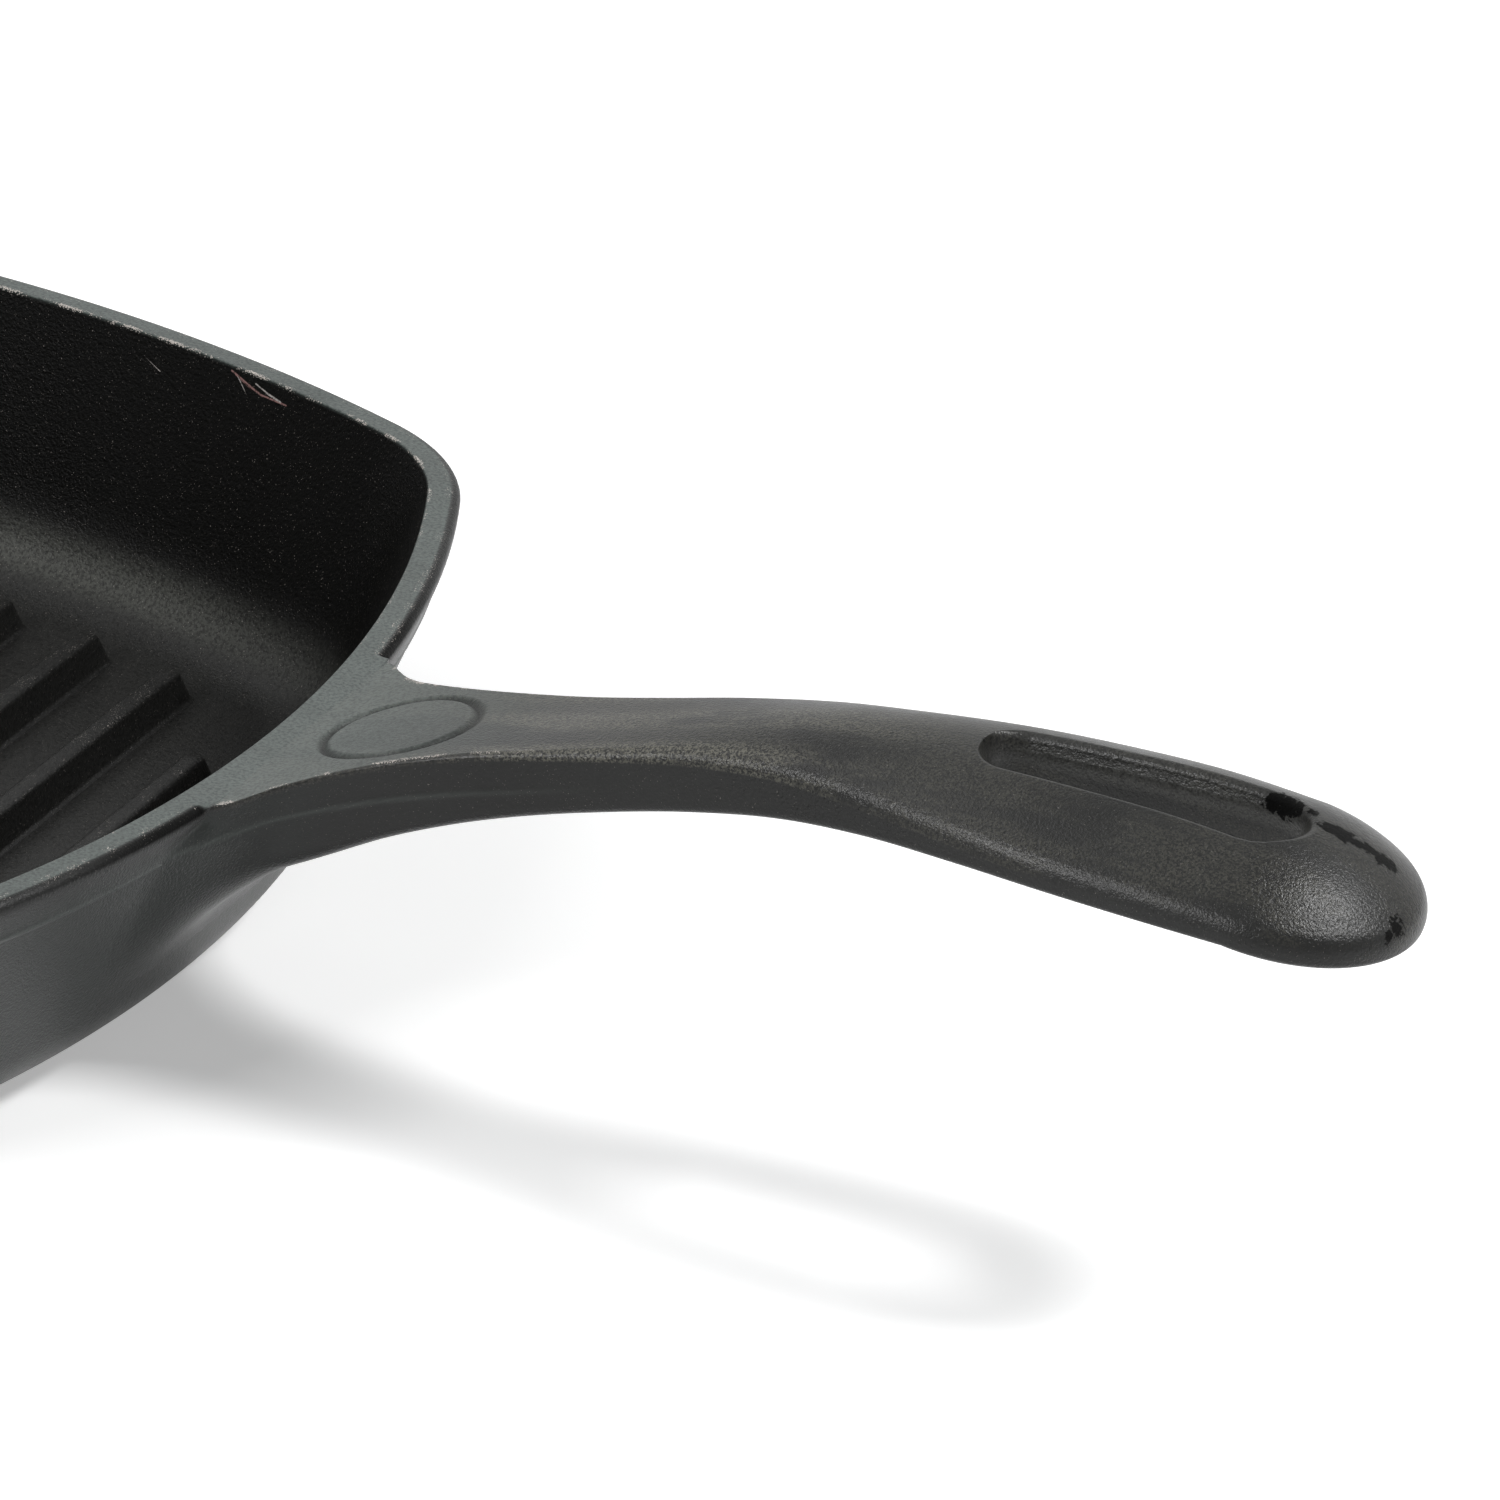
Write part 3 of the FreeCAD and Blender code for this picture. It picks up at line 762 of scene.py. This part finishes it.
def handle():
    """Both sides of the handle, the left one mirrored, with the start closed inside the wall of
    the tray. Quads that lie in the middle plane, between the two sides, are left out."""
    side, marks = handle_half()
    rows, columns = side.shape[:2]
    level = side[0, :, 2].mean()
    side = side.reshape(-1, 3)
    middle = [[flared_wall(0, level) - ROOT_CAP_DEPTH, 0, level]]
    points = np.vstack([side, side * (1, -1, 1), middle])
    quads = grid_quads(rows, columns)
    quads = quads[(side[quads][..., 1] >= NO_HALF_WIDTH).any(axis=1)]
    start = np.arange(columns)
    following, hub = np.roll(start, -1), np.full(columns, len(points) - 1)
    count = rows * columns
    cap = np.stack([start, following, hub, hub], axis=1)
    other_cap = np.stack([start + count, hub, hub, following + count], axis=1)
    both = {name: np.concatenate([share.ravel(), share.ravel(), [0]])
            for name, share in marks.items()}
    piece = write_mesh("handle_casting", points,
                       np.vstack([quads, quads[:, ::-1] + count, cap, other_cap]), both)
    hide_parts("handle_root", "handle_neck", "handle_grip")
    return piece


# Materials


class Nodes:
    """Short way to add shader nodes and link them."""

    def __init__(self, owner):
        owner.use_nodes = True
        self.tree = owner.node_tree
        self.tree.nodes.clear()

    def add(self, kind, settings=None, **sockets):
        """A node with its settings. A socket is called by its name, with _ for a space, or by i
        and its number, and a node as a value means its first output."""
        node = self.tree.nodes.new(kind)
        for key, value in (settings or {}).items():
            setattr(node, key, value)
        for key, value in sockets.items():
            socket = int(key[1:]) if key[1:].isdigit() else key.replace("_", " ")
            self.put(node.inputs[socket], value)
        return node

    def put(self, socket, value):
        if isinstance(value, bpy.types.Node):
            value = value.outputs[0]
        if isinstance(value, bpy.types.NodeSocket):
            self.tree.links.new(value, socket)
        else:
            socket.default_value = value

    def math(self, operation, first, second, clamp=False):
        return self.add("ShaderNodeMath", {"operation": operation, "use_clamp": clamp},
                        i0=first, i1=second)

    def plus(self, first, second):
        return self.math("ADD", first, second)

    def times(self, first, second):
        return self.math("MULTIPLY", first, second)

    def most(self, first, second):
        return self.math("MAXIMUM", first, second)

    def vector(self, operation, first, second):
        return self.add("ShaderNodeVectorMath", {"operation": operation}, i0=first, i1=second)

    def scaled(self, first, share):
        return self.add("ShaderNodeVectorMath", {"operation": "SCALE"}, i0=first, Scale=share)

    def distance(self, first, second):
        return self.vector("DISTANCE", first, second).outputs["Value"]

    def ramp(self, value, low, high, start=0.0, end=1.0):
        return self.add("ShaderNodeMapRange", {"interpolation_type": "SMOOTHSTEP"}, Value=value,
                        From_Min=low, From_Max=high, To_Min=start, To_Max=end)

    def mix(self, share, first, second):
        node = self.add("ShaderNodeMix", {"data_type": "RGBA"}, i0=share, i6=first, i7=second)
        return node.outputs[2]

    def grey(self, level):
        return self.add("ShaderNodeCombineColor", Red=level, Green=level, Blue=level)

    def noise(self, vector, scale, detail, roughness):
        return self.add("ShaderNodeTexNoise", Vector=vector, Scale=scale, Detail=detail,
                        Roughness=roughness)


def rgb(red, green, blue):
    return (red, green, blue, 1.0)


# dark patches of iron, also painted shade in the ring's groove
DARK_IRON_AND_GROOVE_SHADE = rgb(0.0034, 0.0034, 0.003)
FILM_IRON = rgb(0.0014, 0.0014, 0.0012)
DULL_IRON = rgb(0.0085, 0.0088, 0.0082)
FLOOR_IRON = rgb(0.016, 0.016, 0.015)
# painted highlight band round the foot of the inner wall
BAND_HIGHLIGHT_PAINT = rgb(0.064, 0.0655, 0.0585)
# a little greener, and lighter than the handle's iron as painted light bounced from the floor
WALL_IRON_FLOOR_LIT = rgb(0.0105, 0.0135, 0.012)
GROUND_IRON = rgb(0.112, 0.129, 0.121)
GROUND_SHADE = rgb(0.056, 0.064, 0.061)
# warm oil crumbs, also used for the painted highlight streaks on the handle
WARM_OIL_AND_SHEEN = rgb(0.124, 0.119, 0.096)
BARE_GRAIN = rgb(0.55, 0.50, 0.46)
# painted highlight on the slot's lip, painted light with rubbed grain on its wall
SLOT_LIT_AND_WORN_GREY = rgb(0.045, 0.045, 0.042)
PINK_SCORE = rgb(0.26, 0.15, 0.14)
PALE_SCORE = rgb(0.45, 0.42, 0.40)
SEAM_GREY = rgb(0.06, 0.07, 0.064)
BURNT_OIL = rgb(0.0008, 0.0008, 0.0007)
WHITE = rgb(1.0, 1.0, 1.0)
DIM_SKY = rgb(0.94, 0.98, 1.0)

# noises of the finish: waves in a metre, detail and roughness
PATCHES = (30.0, 4.0, 0.6)
FINE = (2700.0, 2.0, 0.6)
GRAIN = (4300.0, 1.0, 0.5)
SAND = (1750.0, 2.0, 0.6)
STREAKS = (85.0, 5.0, 0.65)
RUBBED = (190.0, 4.0, 0.65)
UNEVEN = (420.0, 3.0, 0.7)
FLAKES = (1300.0, 4.0, 0.75)
FLOOR_TONES = (6.0, 2.0, 0.55)
STREAK_STRETCH = (0.28, 1.0, 1.0)
GRAIN_DEPTH = 0.12
SPOT_DRIFT = 4.0

# heights inside the tray, and places across it, between which a finish or the painted highlight
# band changes
SCOURED = (19.0, 8.5)
BAND_UPPER, BAND_LOWER, BAND_SIDEWAYS = (16.5, 10.5), (5.5, 8.5), (55.0, 95.0)
DULL_INSIDE = (22.0, 12.0)

# burnt-on oil at the end of the slot and over the tip: middle and radius
BURNT_SPOTS = (((285.2, 7.6, 74.0), 1.5), ((287.0, 7.3, 73.4), 1.7), ((288.6, 6.8, 74.6), 1.2),
               ((291.6, 5.4, 74.8), 0.9), ((295.6, 2.9, 74.2), 1.5), ((297.6, 3.3, 73.4), 1.7),
               ((299.6, 3.4, 72.6), 1.1), ((301.4, 4.3, 71.6), 1.3), ((303.4, 4.6, 70.5), 1.5),
               ((304.9, 5.4, 69.6), 1.0), ((309.5, -5.0, 65.2), 1.3), ((309.0, -7.4, 64.6), 1.0))

# scores on the inside of the tray: start, end and half width
PINK_LINES = (((61.4, 120.0, 47.1), (65.6, 118.4, 45.9), 0.22),
              ((65.4, 118.5, 45.9), (68.4, 117.4, 45.2), 0.26),
              ((68.2, 117.4, 45.3), (73.4, 115.8, 45.3), 0.20),
              ((62.4, 119.6, 46.7), (67.1, 117.8, 45.0), 0.16))
PALE_LINES = (((66.6, 118.3, 46.6), (69.4, 117.2, 45.9), 0.18),
              ((69.2, 117.3, 45.9), (72.2, 116.3, 45.4), 0.22),
              ((62.8, 119.4, 46.6), (65.3, 118.0, 44.4), 0.12),
              ((43.0, 123.1, 44.9), (47.7, 121.6, 43.0), 0.10))


def metres(pair):
    return [value * MM for value in pair]


class Iron(Nodes):
    """Iron with the mesh's marks and the noises that its finishes share. The marks tell where it is
    ground, worn, paler or burnt, and where highlight, light or shade is painted, and the streaks
    are stretched along the handle."""

    def __init__(self, name):
        self.material = bpy.data.materials.new(name)
        super().__init__(self.material)
        self.place = self.add("ShaderNodeTexCoord").outputs["Object"]
        self.marks = {mark: self.add("ShaderNodeAttribute", {"attribute_name": mark}).outputs["Fac"]
                      for mark in MARKS}
        self.patches, self.fine, self.grain, self.sand = (
            self.noise(self.place, *noise) for noise in (PATCHES, FINE, GRAIN, SAND))
        stretched = self.add("ShaderNodeMapping", Vector=self.place, Scale=STREAK_STRETCH)
        self.streaks = self.noise(stretched, *STREAKS)

    def ground_land(self, color):
        """Ground iron, mottled by the sand of the mould, over the colour given."""
        mottle = self.mix(self.ramp(self.sand, 0.32, 0.62), GROUND_SHADE, GROUND_IRON)
        share = self.times(self.marks["ground"], self.ramp(self.streaks, 0.25, 0.6, 0.75, 1.0))
        return self.mix(share, color, mottle)

    def cast_marks(self, color):
        """Parting line, burnt strip outside the land, painted shade in the ring's groove, and the
        slot's lip and upper wall painted lighter: painted highlight on the lip, painted light with
        rubbed grain on the wall.
        """
        color = self.mix(self.times(self.marks["seam"], 0.45), color, SEAM_GREY)
        color = self.mix(self.times(self.marks["strip"], 0.92), color, BURNT_OIL)
        # painted shade: the ring's groove is darkened
        color = self.mix(self.times(self.marks["groove"], 0.9), color, DARK_IRON_AND_GROOVE_SHADE)
        # painted highlight on the slot's lip, and painted light with rubbed grain on the upper part
        # of its wall
        slot = self.times(self.marks["slot"], self.ramp(self.fine, 0.3, 0.65, 0.3, 1.0))
        return self.mix(slot, color, SLOT_LIT_AND_WORN_GREY)

    def bare_grain(self, scattered):
        """Share of bare grain: specks strewn everywhere, and more of them where the edges are
        rubbed, because there the grain shows from a lower threshold."""
        specks = self.ramp(self.grain, 0.71, 0.77, 0.0, scattered)
        patchy = self.ramp(self.noise(self.place, *RUBBED), 0.42, 0.60)
        rubbed = self.times(self.marks["edge"], patchy)
        crowded = self.ramp(self.plus(self.grain, self.times(rubbed, 0.27)), 0.70, 0.76)
        return self.most(specks, self.times(crowded, self.ramp(rubbed, 0.03, 0.2, 0.0, 0.9)))

    def roughness(self, low, high, bare):
        """Roughness in patches between two limits, higher where the iron is ground, bare or
        burnt."""
        uneven = self.plus(self.times(self.patches, 0.7), self.times(self.fine, 0.3))
        rough = self.ramp(uneven, 0.3, 0.7, low, high)
        rough = self.plus(rough, self.times(self.marks["ground"], 0.10))
        rough = self.plus(rough, self.times(bare, 0.1))
        return self.plus(rough, self.times(self.marks["strip"], 0.3))

    def finish(self, color, rough, shine, specular):
        """The shader. The casting's grain is a bump that grinding halves, and the shine is how
        much of the reflection is left."""
        depth = self.plus(self.times(self.fine, 0.6), self.times(self.grain, 0.25))
        depth = self.plus(depth, self.sand)
        soft = self.math("SUBTRACT", 1.0, self.times(self.marks["ground"], 0.5))
        bump = self.add("ShaderNodeBump", Strength=soft, Distance=GRAIN_DEPTH * MM, Height=depth)
        shader = self.add("ShaderNodeBsdfPrincipled", Base_Color=color, Roughness=rough,
                          Normal=bump, Specular_Tint=self.grey(shine))
        shader.inputs["Specular IOR Level"].default_value = specular
        self.add("ShaderNodeOutputMaterial", Surface=shader)
        return self.material


def scores(n, lines):
    """1 on any of the lines. A point's distance from a line is its distance from the nearest
    point of it, which is the start plus the clamped share of the way to the end."""
    total = 0.0
    for start, end, width in lines:
        start, end = Vector(start) * MM, Vector(end) * MM
        run = end - start
        away = n.vector("SUBTRACT", n.place, tuple(start))
        dot = n.vector("DOT_PRODUCT", away, tuple(run / run.length_squared)).outputs["Value"]
        nearest = n.scaled(tuple(run), n.math("ADD", dot, 0.0, clamp=True))
        gap = n.distance(away, nearest)
        total = n.most(total, n.ramp(gap, 0.3 * width * MM, width * MM, 1.0, 0.0))
    return n.times(total, n.ramp(n.fine, 0.36, 0.52, 0.25, 1.0))


def spots(n, middles):
    """1 inside any of the spots. The place is shifted a little by a noise before its distance
    from the middle is taken, and a finer noise breaks the edge into flakes, with a thinner stain
    round them."""
    uneven = n.noise(n.place, *UNEVEN).outputs["Color"]
    shift = n.scaled(n.vector("SUBTRACT", uneven, (0.5, 0.5, 0.5)), SPOT_DRIFT * MM)
    moved = n.vector("ADD", n.place, shift)
    total = 0.0
    for middle, radius in middles:
        gap = n.distance(moved, tuple(Vector(middle) * MM))
        total = n.most(total, n.ramp(gap, 0.2 * radius * MM, 2.1 * radius * MM, 1.0, 0.0))
    flaky = n.times(n.noise(n.place, *FLAKES), 1.3)
    return n.most(n.ramp(n.plus(total, flaky), 1.0, 1.22), n.times(total, 0.6))


def oiled_iron():
    """Outside of the tray, and the handle: dark film in soft patches, the wall a little greener
    and, as painted light bounced from the floor, a little lighter, the ground land, warm crumbs
    where oil has gone thick that crowd into painted highlight streaks on the handle's top and
    shoulder, painted shade in the ring's groove, the slot's lip and upper wall painted lighter, and
    specks of bare grain that crowd on worn edges. The burnt spots and the strip outside the land
    hardly shine."""
    n = Iron("oiled_iron")
    color = n.mix(n.ramp(n.patches, 0.32, 0.66, 0.25, 1.0), DARK_IRON_AND_GROOVE_SHADE, DULL_IRON)
    color = n.mix(n.ramp(n.fine, 0.3, 0.5, 0.45, 0.0), color, DARK_IRON_AND_GROOVE_SHADE)
    # painted light: the outer wall, and the root by it, are a little lighter as light bounced from
    # the floor, and a little greener
    wall = n.times(n.marks["outside"], n.ramp(n.patches, 0.2, 0.6, 0.6, 1.0))
    color = n.ground_land(n.mix(wall, color, WALL_IRON_FLOOR_LIT))
    # painted highlight: warm crumbs crowd into streaks along the handle's top and shoulder, over a
    # thin share of thick oil
    oil_and_sheen = n.times(n.ramp(n.streaks, 0.40, 0.54, 0.05, 1.0), n.marks["film_and_sheen"])
    crumbs = n.times(n.ramp(n.fine, 0.42, 0.54), n.ramp(n.sand, 0.38, 0.52, 0.25, 1.0))
    color = n.cast_marks(n.mix(n.times(oil_and_sheen, crumbs), color, WARM_OIL_AND_SHEEN))
    bare, burnt = n.bare_grain(0.2), spots(n, BURNT_SPOTS)
    color = n.mix(burnt, n.mix(bare, color, BARE_GRAIN), BURNT_OIL)
    rough = n.plus(n.roughness(0.27, 0.40, bare), n.times(burnt, 0.35))
    shine = n.ramp(n.most(n.marks["strip"], burnt), 0.0, 1.0, 1.0, 0.12)
    return n.finish(color, rough, shine, 0.34)


def seasoned_iron():
    """Inside of the tray and ridges: blacker film, scoured greyer towards the floor, with a paler
    band round the foot of the wall that is painted highlight, and a few scores. The wall shines
    less than the floor, and the ridges, which carry the whole film_and_sheen mark, shine most."""
    n = Iron("seasoned_iron")
    place = n.add("ShaderNodeSeparateXYZ", i0=n.place).outputs
    height, sideways = place["Z"], n.math("ABSOLUTE", place["X"], 0.0)
    sanded = n.ramp(n.sand, 0.3, 0.62, 0.4, 1.15)
    scoured = n.times(n.ramp(height, *metres(SCOURED)), sanded)
    scoured = n.times(scoured, n.ramp(n.marks["film_and_sheen"], 0.0, 1.0, 1.0, 0.7))
    color = n.mix(scoured, FILM_IRON, FLOOR_IRON)
    # painted highlight: a paler band round the foot of the wall, where the lamps catch the fillet
    band = n.times(n.ramp(height, *metres(BAND_UPPER)), n.ramp(height, *metres(BAND_LOWER)))
    band = n.times(band, n.math("SUBTRACT", 1.0, n.marks["film_and_sheen"]))
    band = n.times(band, n.ramp(sideways, *metres(BAND_SIDEWAYS), 1.0, 0.3))
    color = n.mix(n.times(band, n.ramp(n.sand, 0.34, 0.62, 0.3, 1.0)), color, BAND_HIGHLIGHT_PAINT)
    color = n.cast_marks(n.ground_land(color))
    bare = n.bare_grain(0.35)
    color = n.mix(bare, color, BARE_GRAIN)
    color = n.mix(scores(n, PINK_LINES), color, PINK_SCORE)
    color = n.mix(scores(n, PALE_LINES), color, PALE_SCORE)
    shine = n.most(n.ramp(height, *metres(DULL_INSIDE), 0.22, 0.55), n.marks["film_and_sheen"])
    return n.finish(color, n.roughness(0.30, 0.42, bare), shine, 0.24)


# Stage

FLOOR_HALF_SIZE = 2.5
FLOOR_DROP = 0.0003
FLOOR_GLOW = 0.13
FLOOR_WHITE = 0.26
FLOOR_NEAR, FLOOR_FAR = 0.45, 1.7
MIRRORED = 0.6
DIM_SKY_POWER = 0.09
CAMERA_PLACE = (0.711525, -1.285459, 0.712858)
CAMERA_TURN = (0.375190, 0.438971, 0.088026)
CAMERA_LENS = 246.84
CAMERA_RANGE = (0.05, 20.0)
PAN_MIDDLE = (0.08, 0.0, 0.03)
GRIP_MIDDLE = (0.25, 0.0, 0.05)

# soft lamps: name, place, target, size, power and colour
LAMPS = (("high_panel", (-0.8, 0.1, 1.45), PAN_MIDDLE, (0.85, 0.85), 5.0, (1, 1, 1)),
         ("left_panel", (-0.62, -1.42, 1.2), PAN_MIDDLE, (0.9, 0.45), 24.0, (1, 1, 1)),
         ("right_panel", (1.06, 0.44, 1.38), GRIP_MIDDLE, (0.36, 0.36), 19.0, (1, 1, 1)),
         ("back_panel", (-1.0, 2.2, 1.0), PAN_MIDDLE, (2.8, 1.3), 3.0, (0.98, 1, 0.985)))


def white_seen(n):
    """Share of the white surroundings that a ray sees: all for the camera's, the mirrored share
    for a reflected or refracted one, and none for the light that falls on the object."""
    rays = n.add("ShaderNodeLightPath").outputs
    mirrored = n.most(rays["Is Glossy Ray"], rays["Is Transmission Ray"])
    return n.most(rays["Is Camera Ray"], n.times(mirrored, MIRRORED))


def pale_floor():
    """Pale matt floor that takes the object's shadow and glows a little. To the camera and in
    reflections it is whiter, the more so the further it lies from the object."""
    material = bpy.data.materials.new("pale_floor")
    n = Nodes(material)
    place = n.add("ShaderNodeTexCoord").outputs["Object"]
    tone = n.ramp(n.noise(place, *FLOOR_TONES), 0.3, 0.7, 0.86, 0.9)
    matt = n.add("ShaderNodeBsdfDiffuse", Color=n.grey(tone))
    away = n.distance(place, (0.0, 0.0, 0.0))
    white = n.ramp(away, FLOOR_NEAR, FLOOR_FAR, FLOOR_WHITE, 1.0)
    glow = n.plus(FLOOR_GLOW, n.times(white_seen(n), white))
    seen = n.add("ShaderNodeEmission", Color=WHITE, Strength=glow)
    n.add("ShaderNodeOutputMaterial", Surface=n.add("ShaderNodeAddShader", i0=matt, i1=seen))
    return material


def world():
    """Even surroundings, white to the camera and in part to reflections, that light the object
    dimly."""
    surroundings = bpy.data.worlds.new("surroundings")
    n = Nodes(surroundings)
    seen = n.add("ShaderNodeBackground", Color=WHITE, Strength=1.0)
    felt = n.add("ShaderNodeBackground", Color=DIM_SKY, Strength=DIM_SKY_POWER)
    mix = n.add("ShaderNodeMixShader", i0=white_seen(n), i1=felt, i2=seen)
    n.add("ShaderNodeOutputWorld", Surface=mix)
    bpy.context.scene.world = surroundings


def camera():
    """Camera at the photograph's place, turned by its yaw and pitch and rolled about its view."""
    yaw, pitch, roll = CAMERA_TURN
    ahead = Vector((-math.sin(yaw) * math.cos(pitch), math.cos(yaw) * math.cos(pitch),
                    -math.sin(pitch)))
    right = Vector((math.cos(yaw), math.sin(yaw), 0.0))
    up = right.cross(ahead)
    level_right = right * math.cos(roll) + up * math.sin(roll)
    level_up = up * math.cos(roll) - right * math.sin(roll)
    data = bpy.data.cameras.new("view")
    data.lens = CAMERA_LENS
    data.clip_start, data.clip_end = CAMERA_RANGE
    eye = add_object("view", data)
    turn = Matrix((level_right, level_up, -ahead)).transposed().to_4x4()
    eye.matrix_world = Matrix.Translation(CAMERA_PLACE) @ turn
    bpy.context.scene.camera = eye


def lamp(name, place, target, size, power, color):
    """Soft rectangular lamp that faces its target."""
    data = bpy.data.lights.new(name, "AREA")
    data.shape, data.size, data.size_y = "RECTANGLE", size[0], size[1]
    data.energy, data.color = power, color
    panel = add_object(name, data)
    panel.location = place
    panel.rotation_euler = (Vector(target) - Vector(place)).to_track_quat("-Z", "Y").to_euler()


def floor():
    """Square floor just under the pan."""
    corners = [(x * FLOOR_HALF_SIZE, y * FLOOR_HALF_SIZE, -FLOOR_DROP)
               for x, y in ((-1, -1), (1, -1), (1, 1), (-1, 1))]
    mesh = bpy.data.meshes.new("floor")
    mesh.from_pydata(corners, [], [(0, 1, 2, 3)])
    mesh.materials.append(pale_floor())
    add_object("floor", mesh)


def main():
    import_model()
    outside, inside = oiled_iron(), seasoned_iron()
    body, handle_piece = tray(), handle()
    ridges = [ridge(i + 1, (i - RIDGE_COUNT // 2) * RIDGE_PITCH) for i in range(RIDGE_COUNT)]
    for piece in [body, handle_piece] + ridges:
        piece.data.materials.append(inside if piece in ridges else outside)
        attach(piece, "root")
    body.data.materials.append(inside)
    body.data.polygons.foreach_set("material_index", inner_faces(body.data))
    camera()
    world()
    floor()
    for settings in LAMPS:
        lamp(*settings)
    bpy.context.scene.view_settings.view_transform = "Standard"


main()
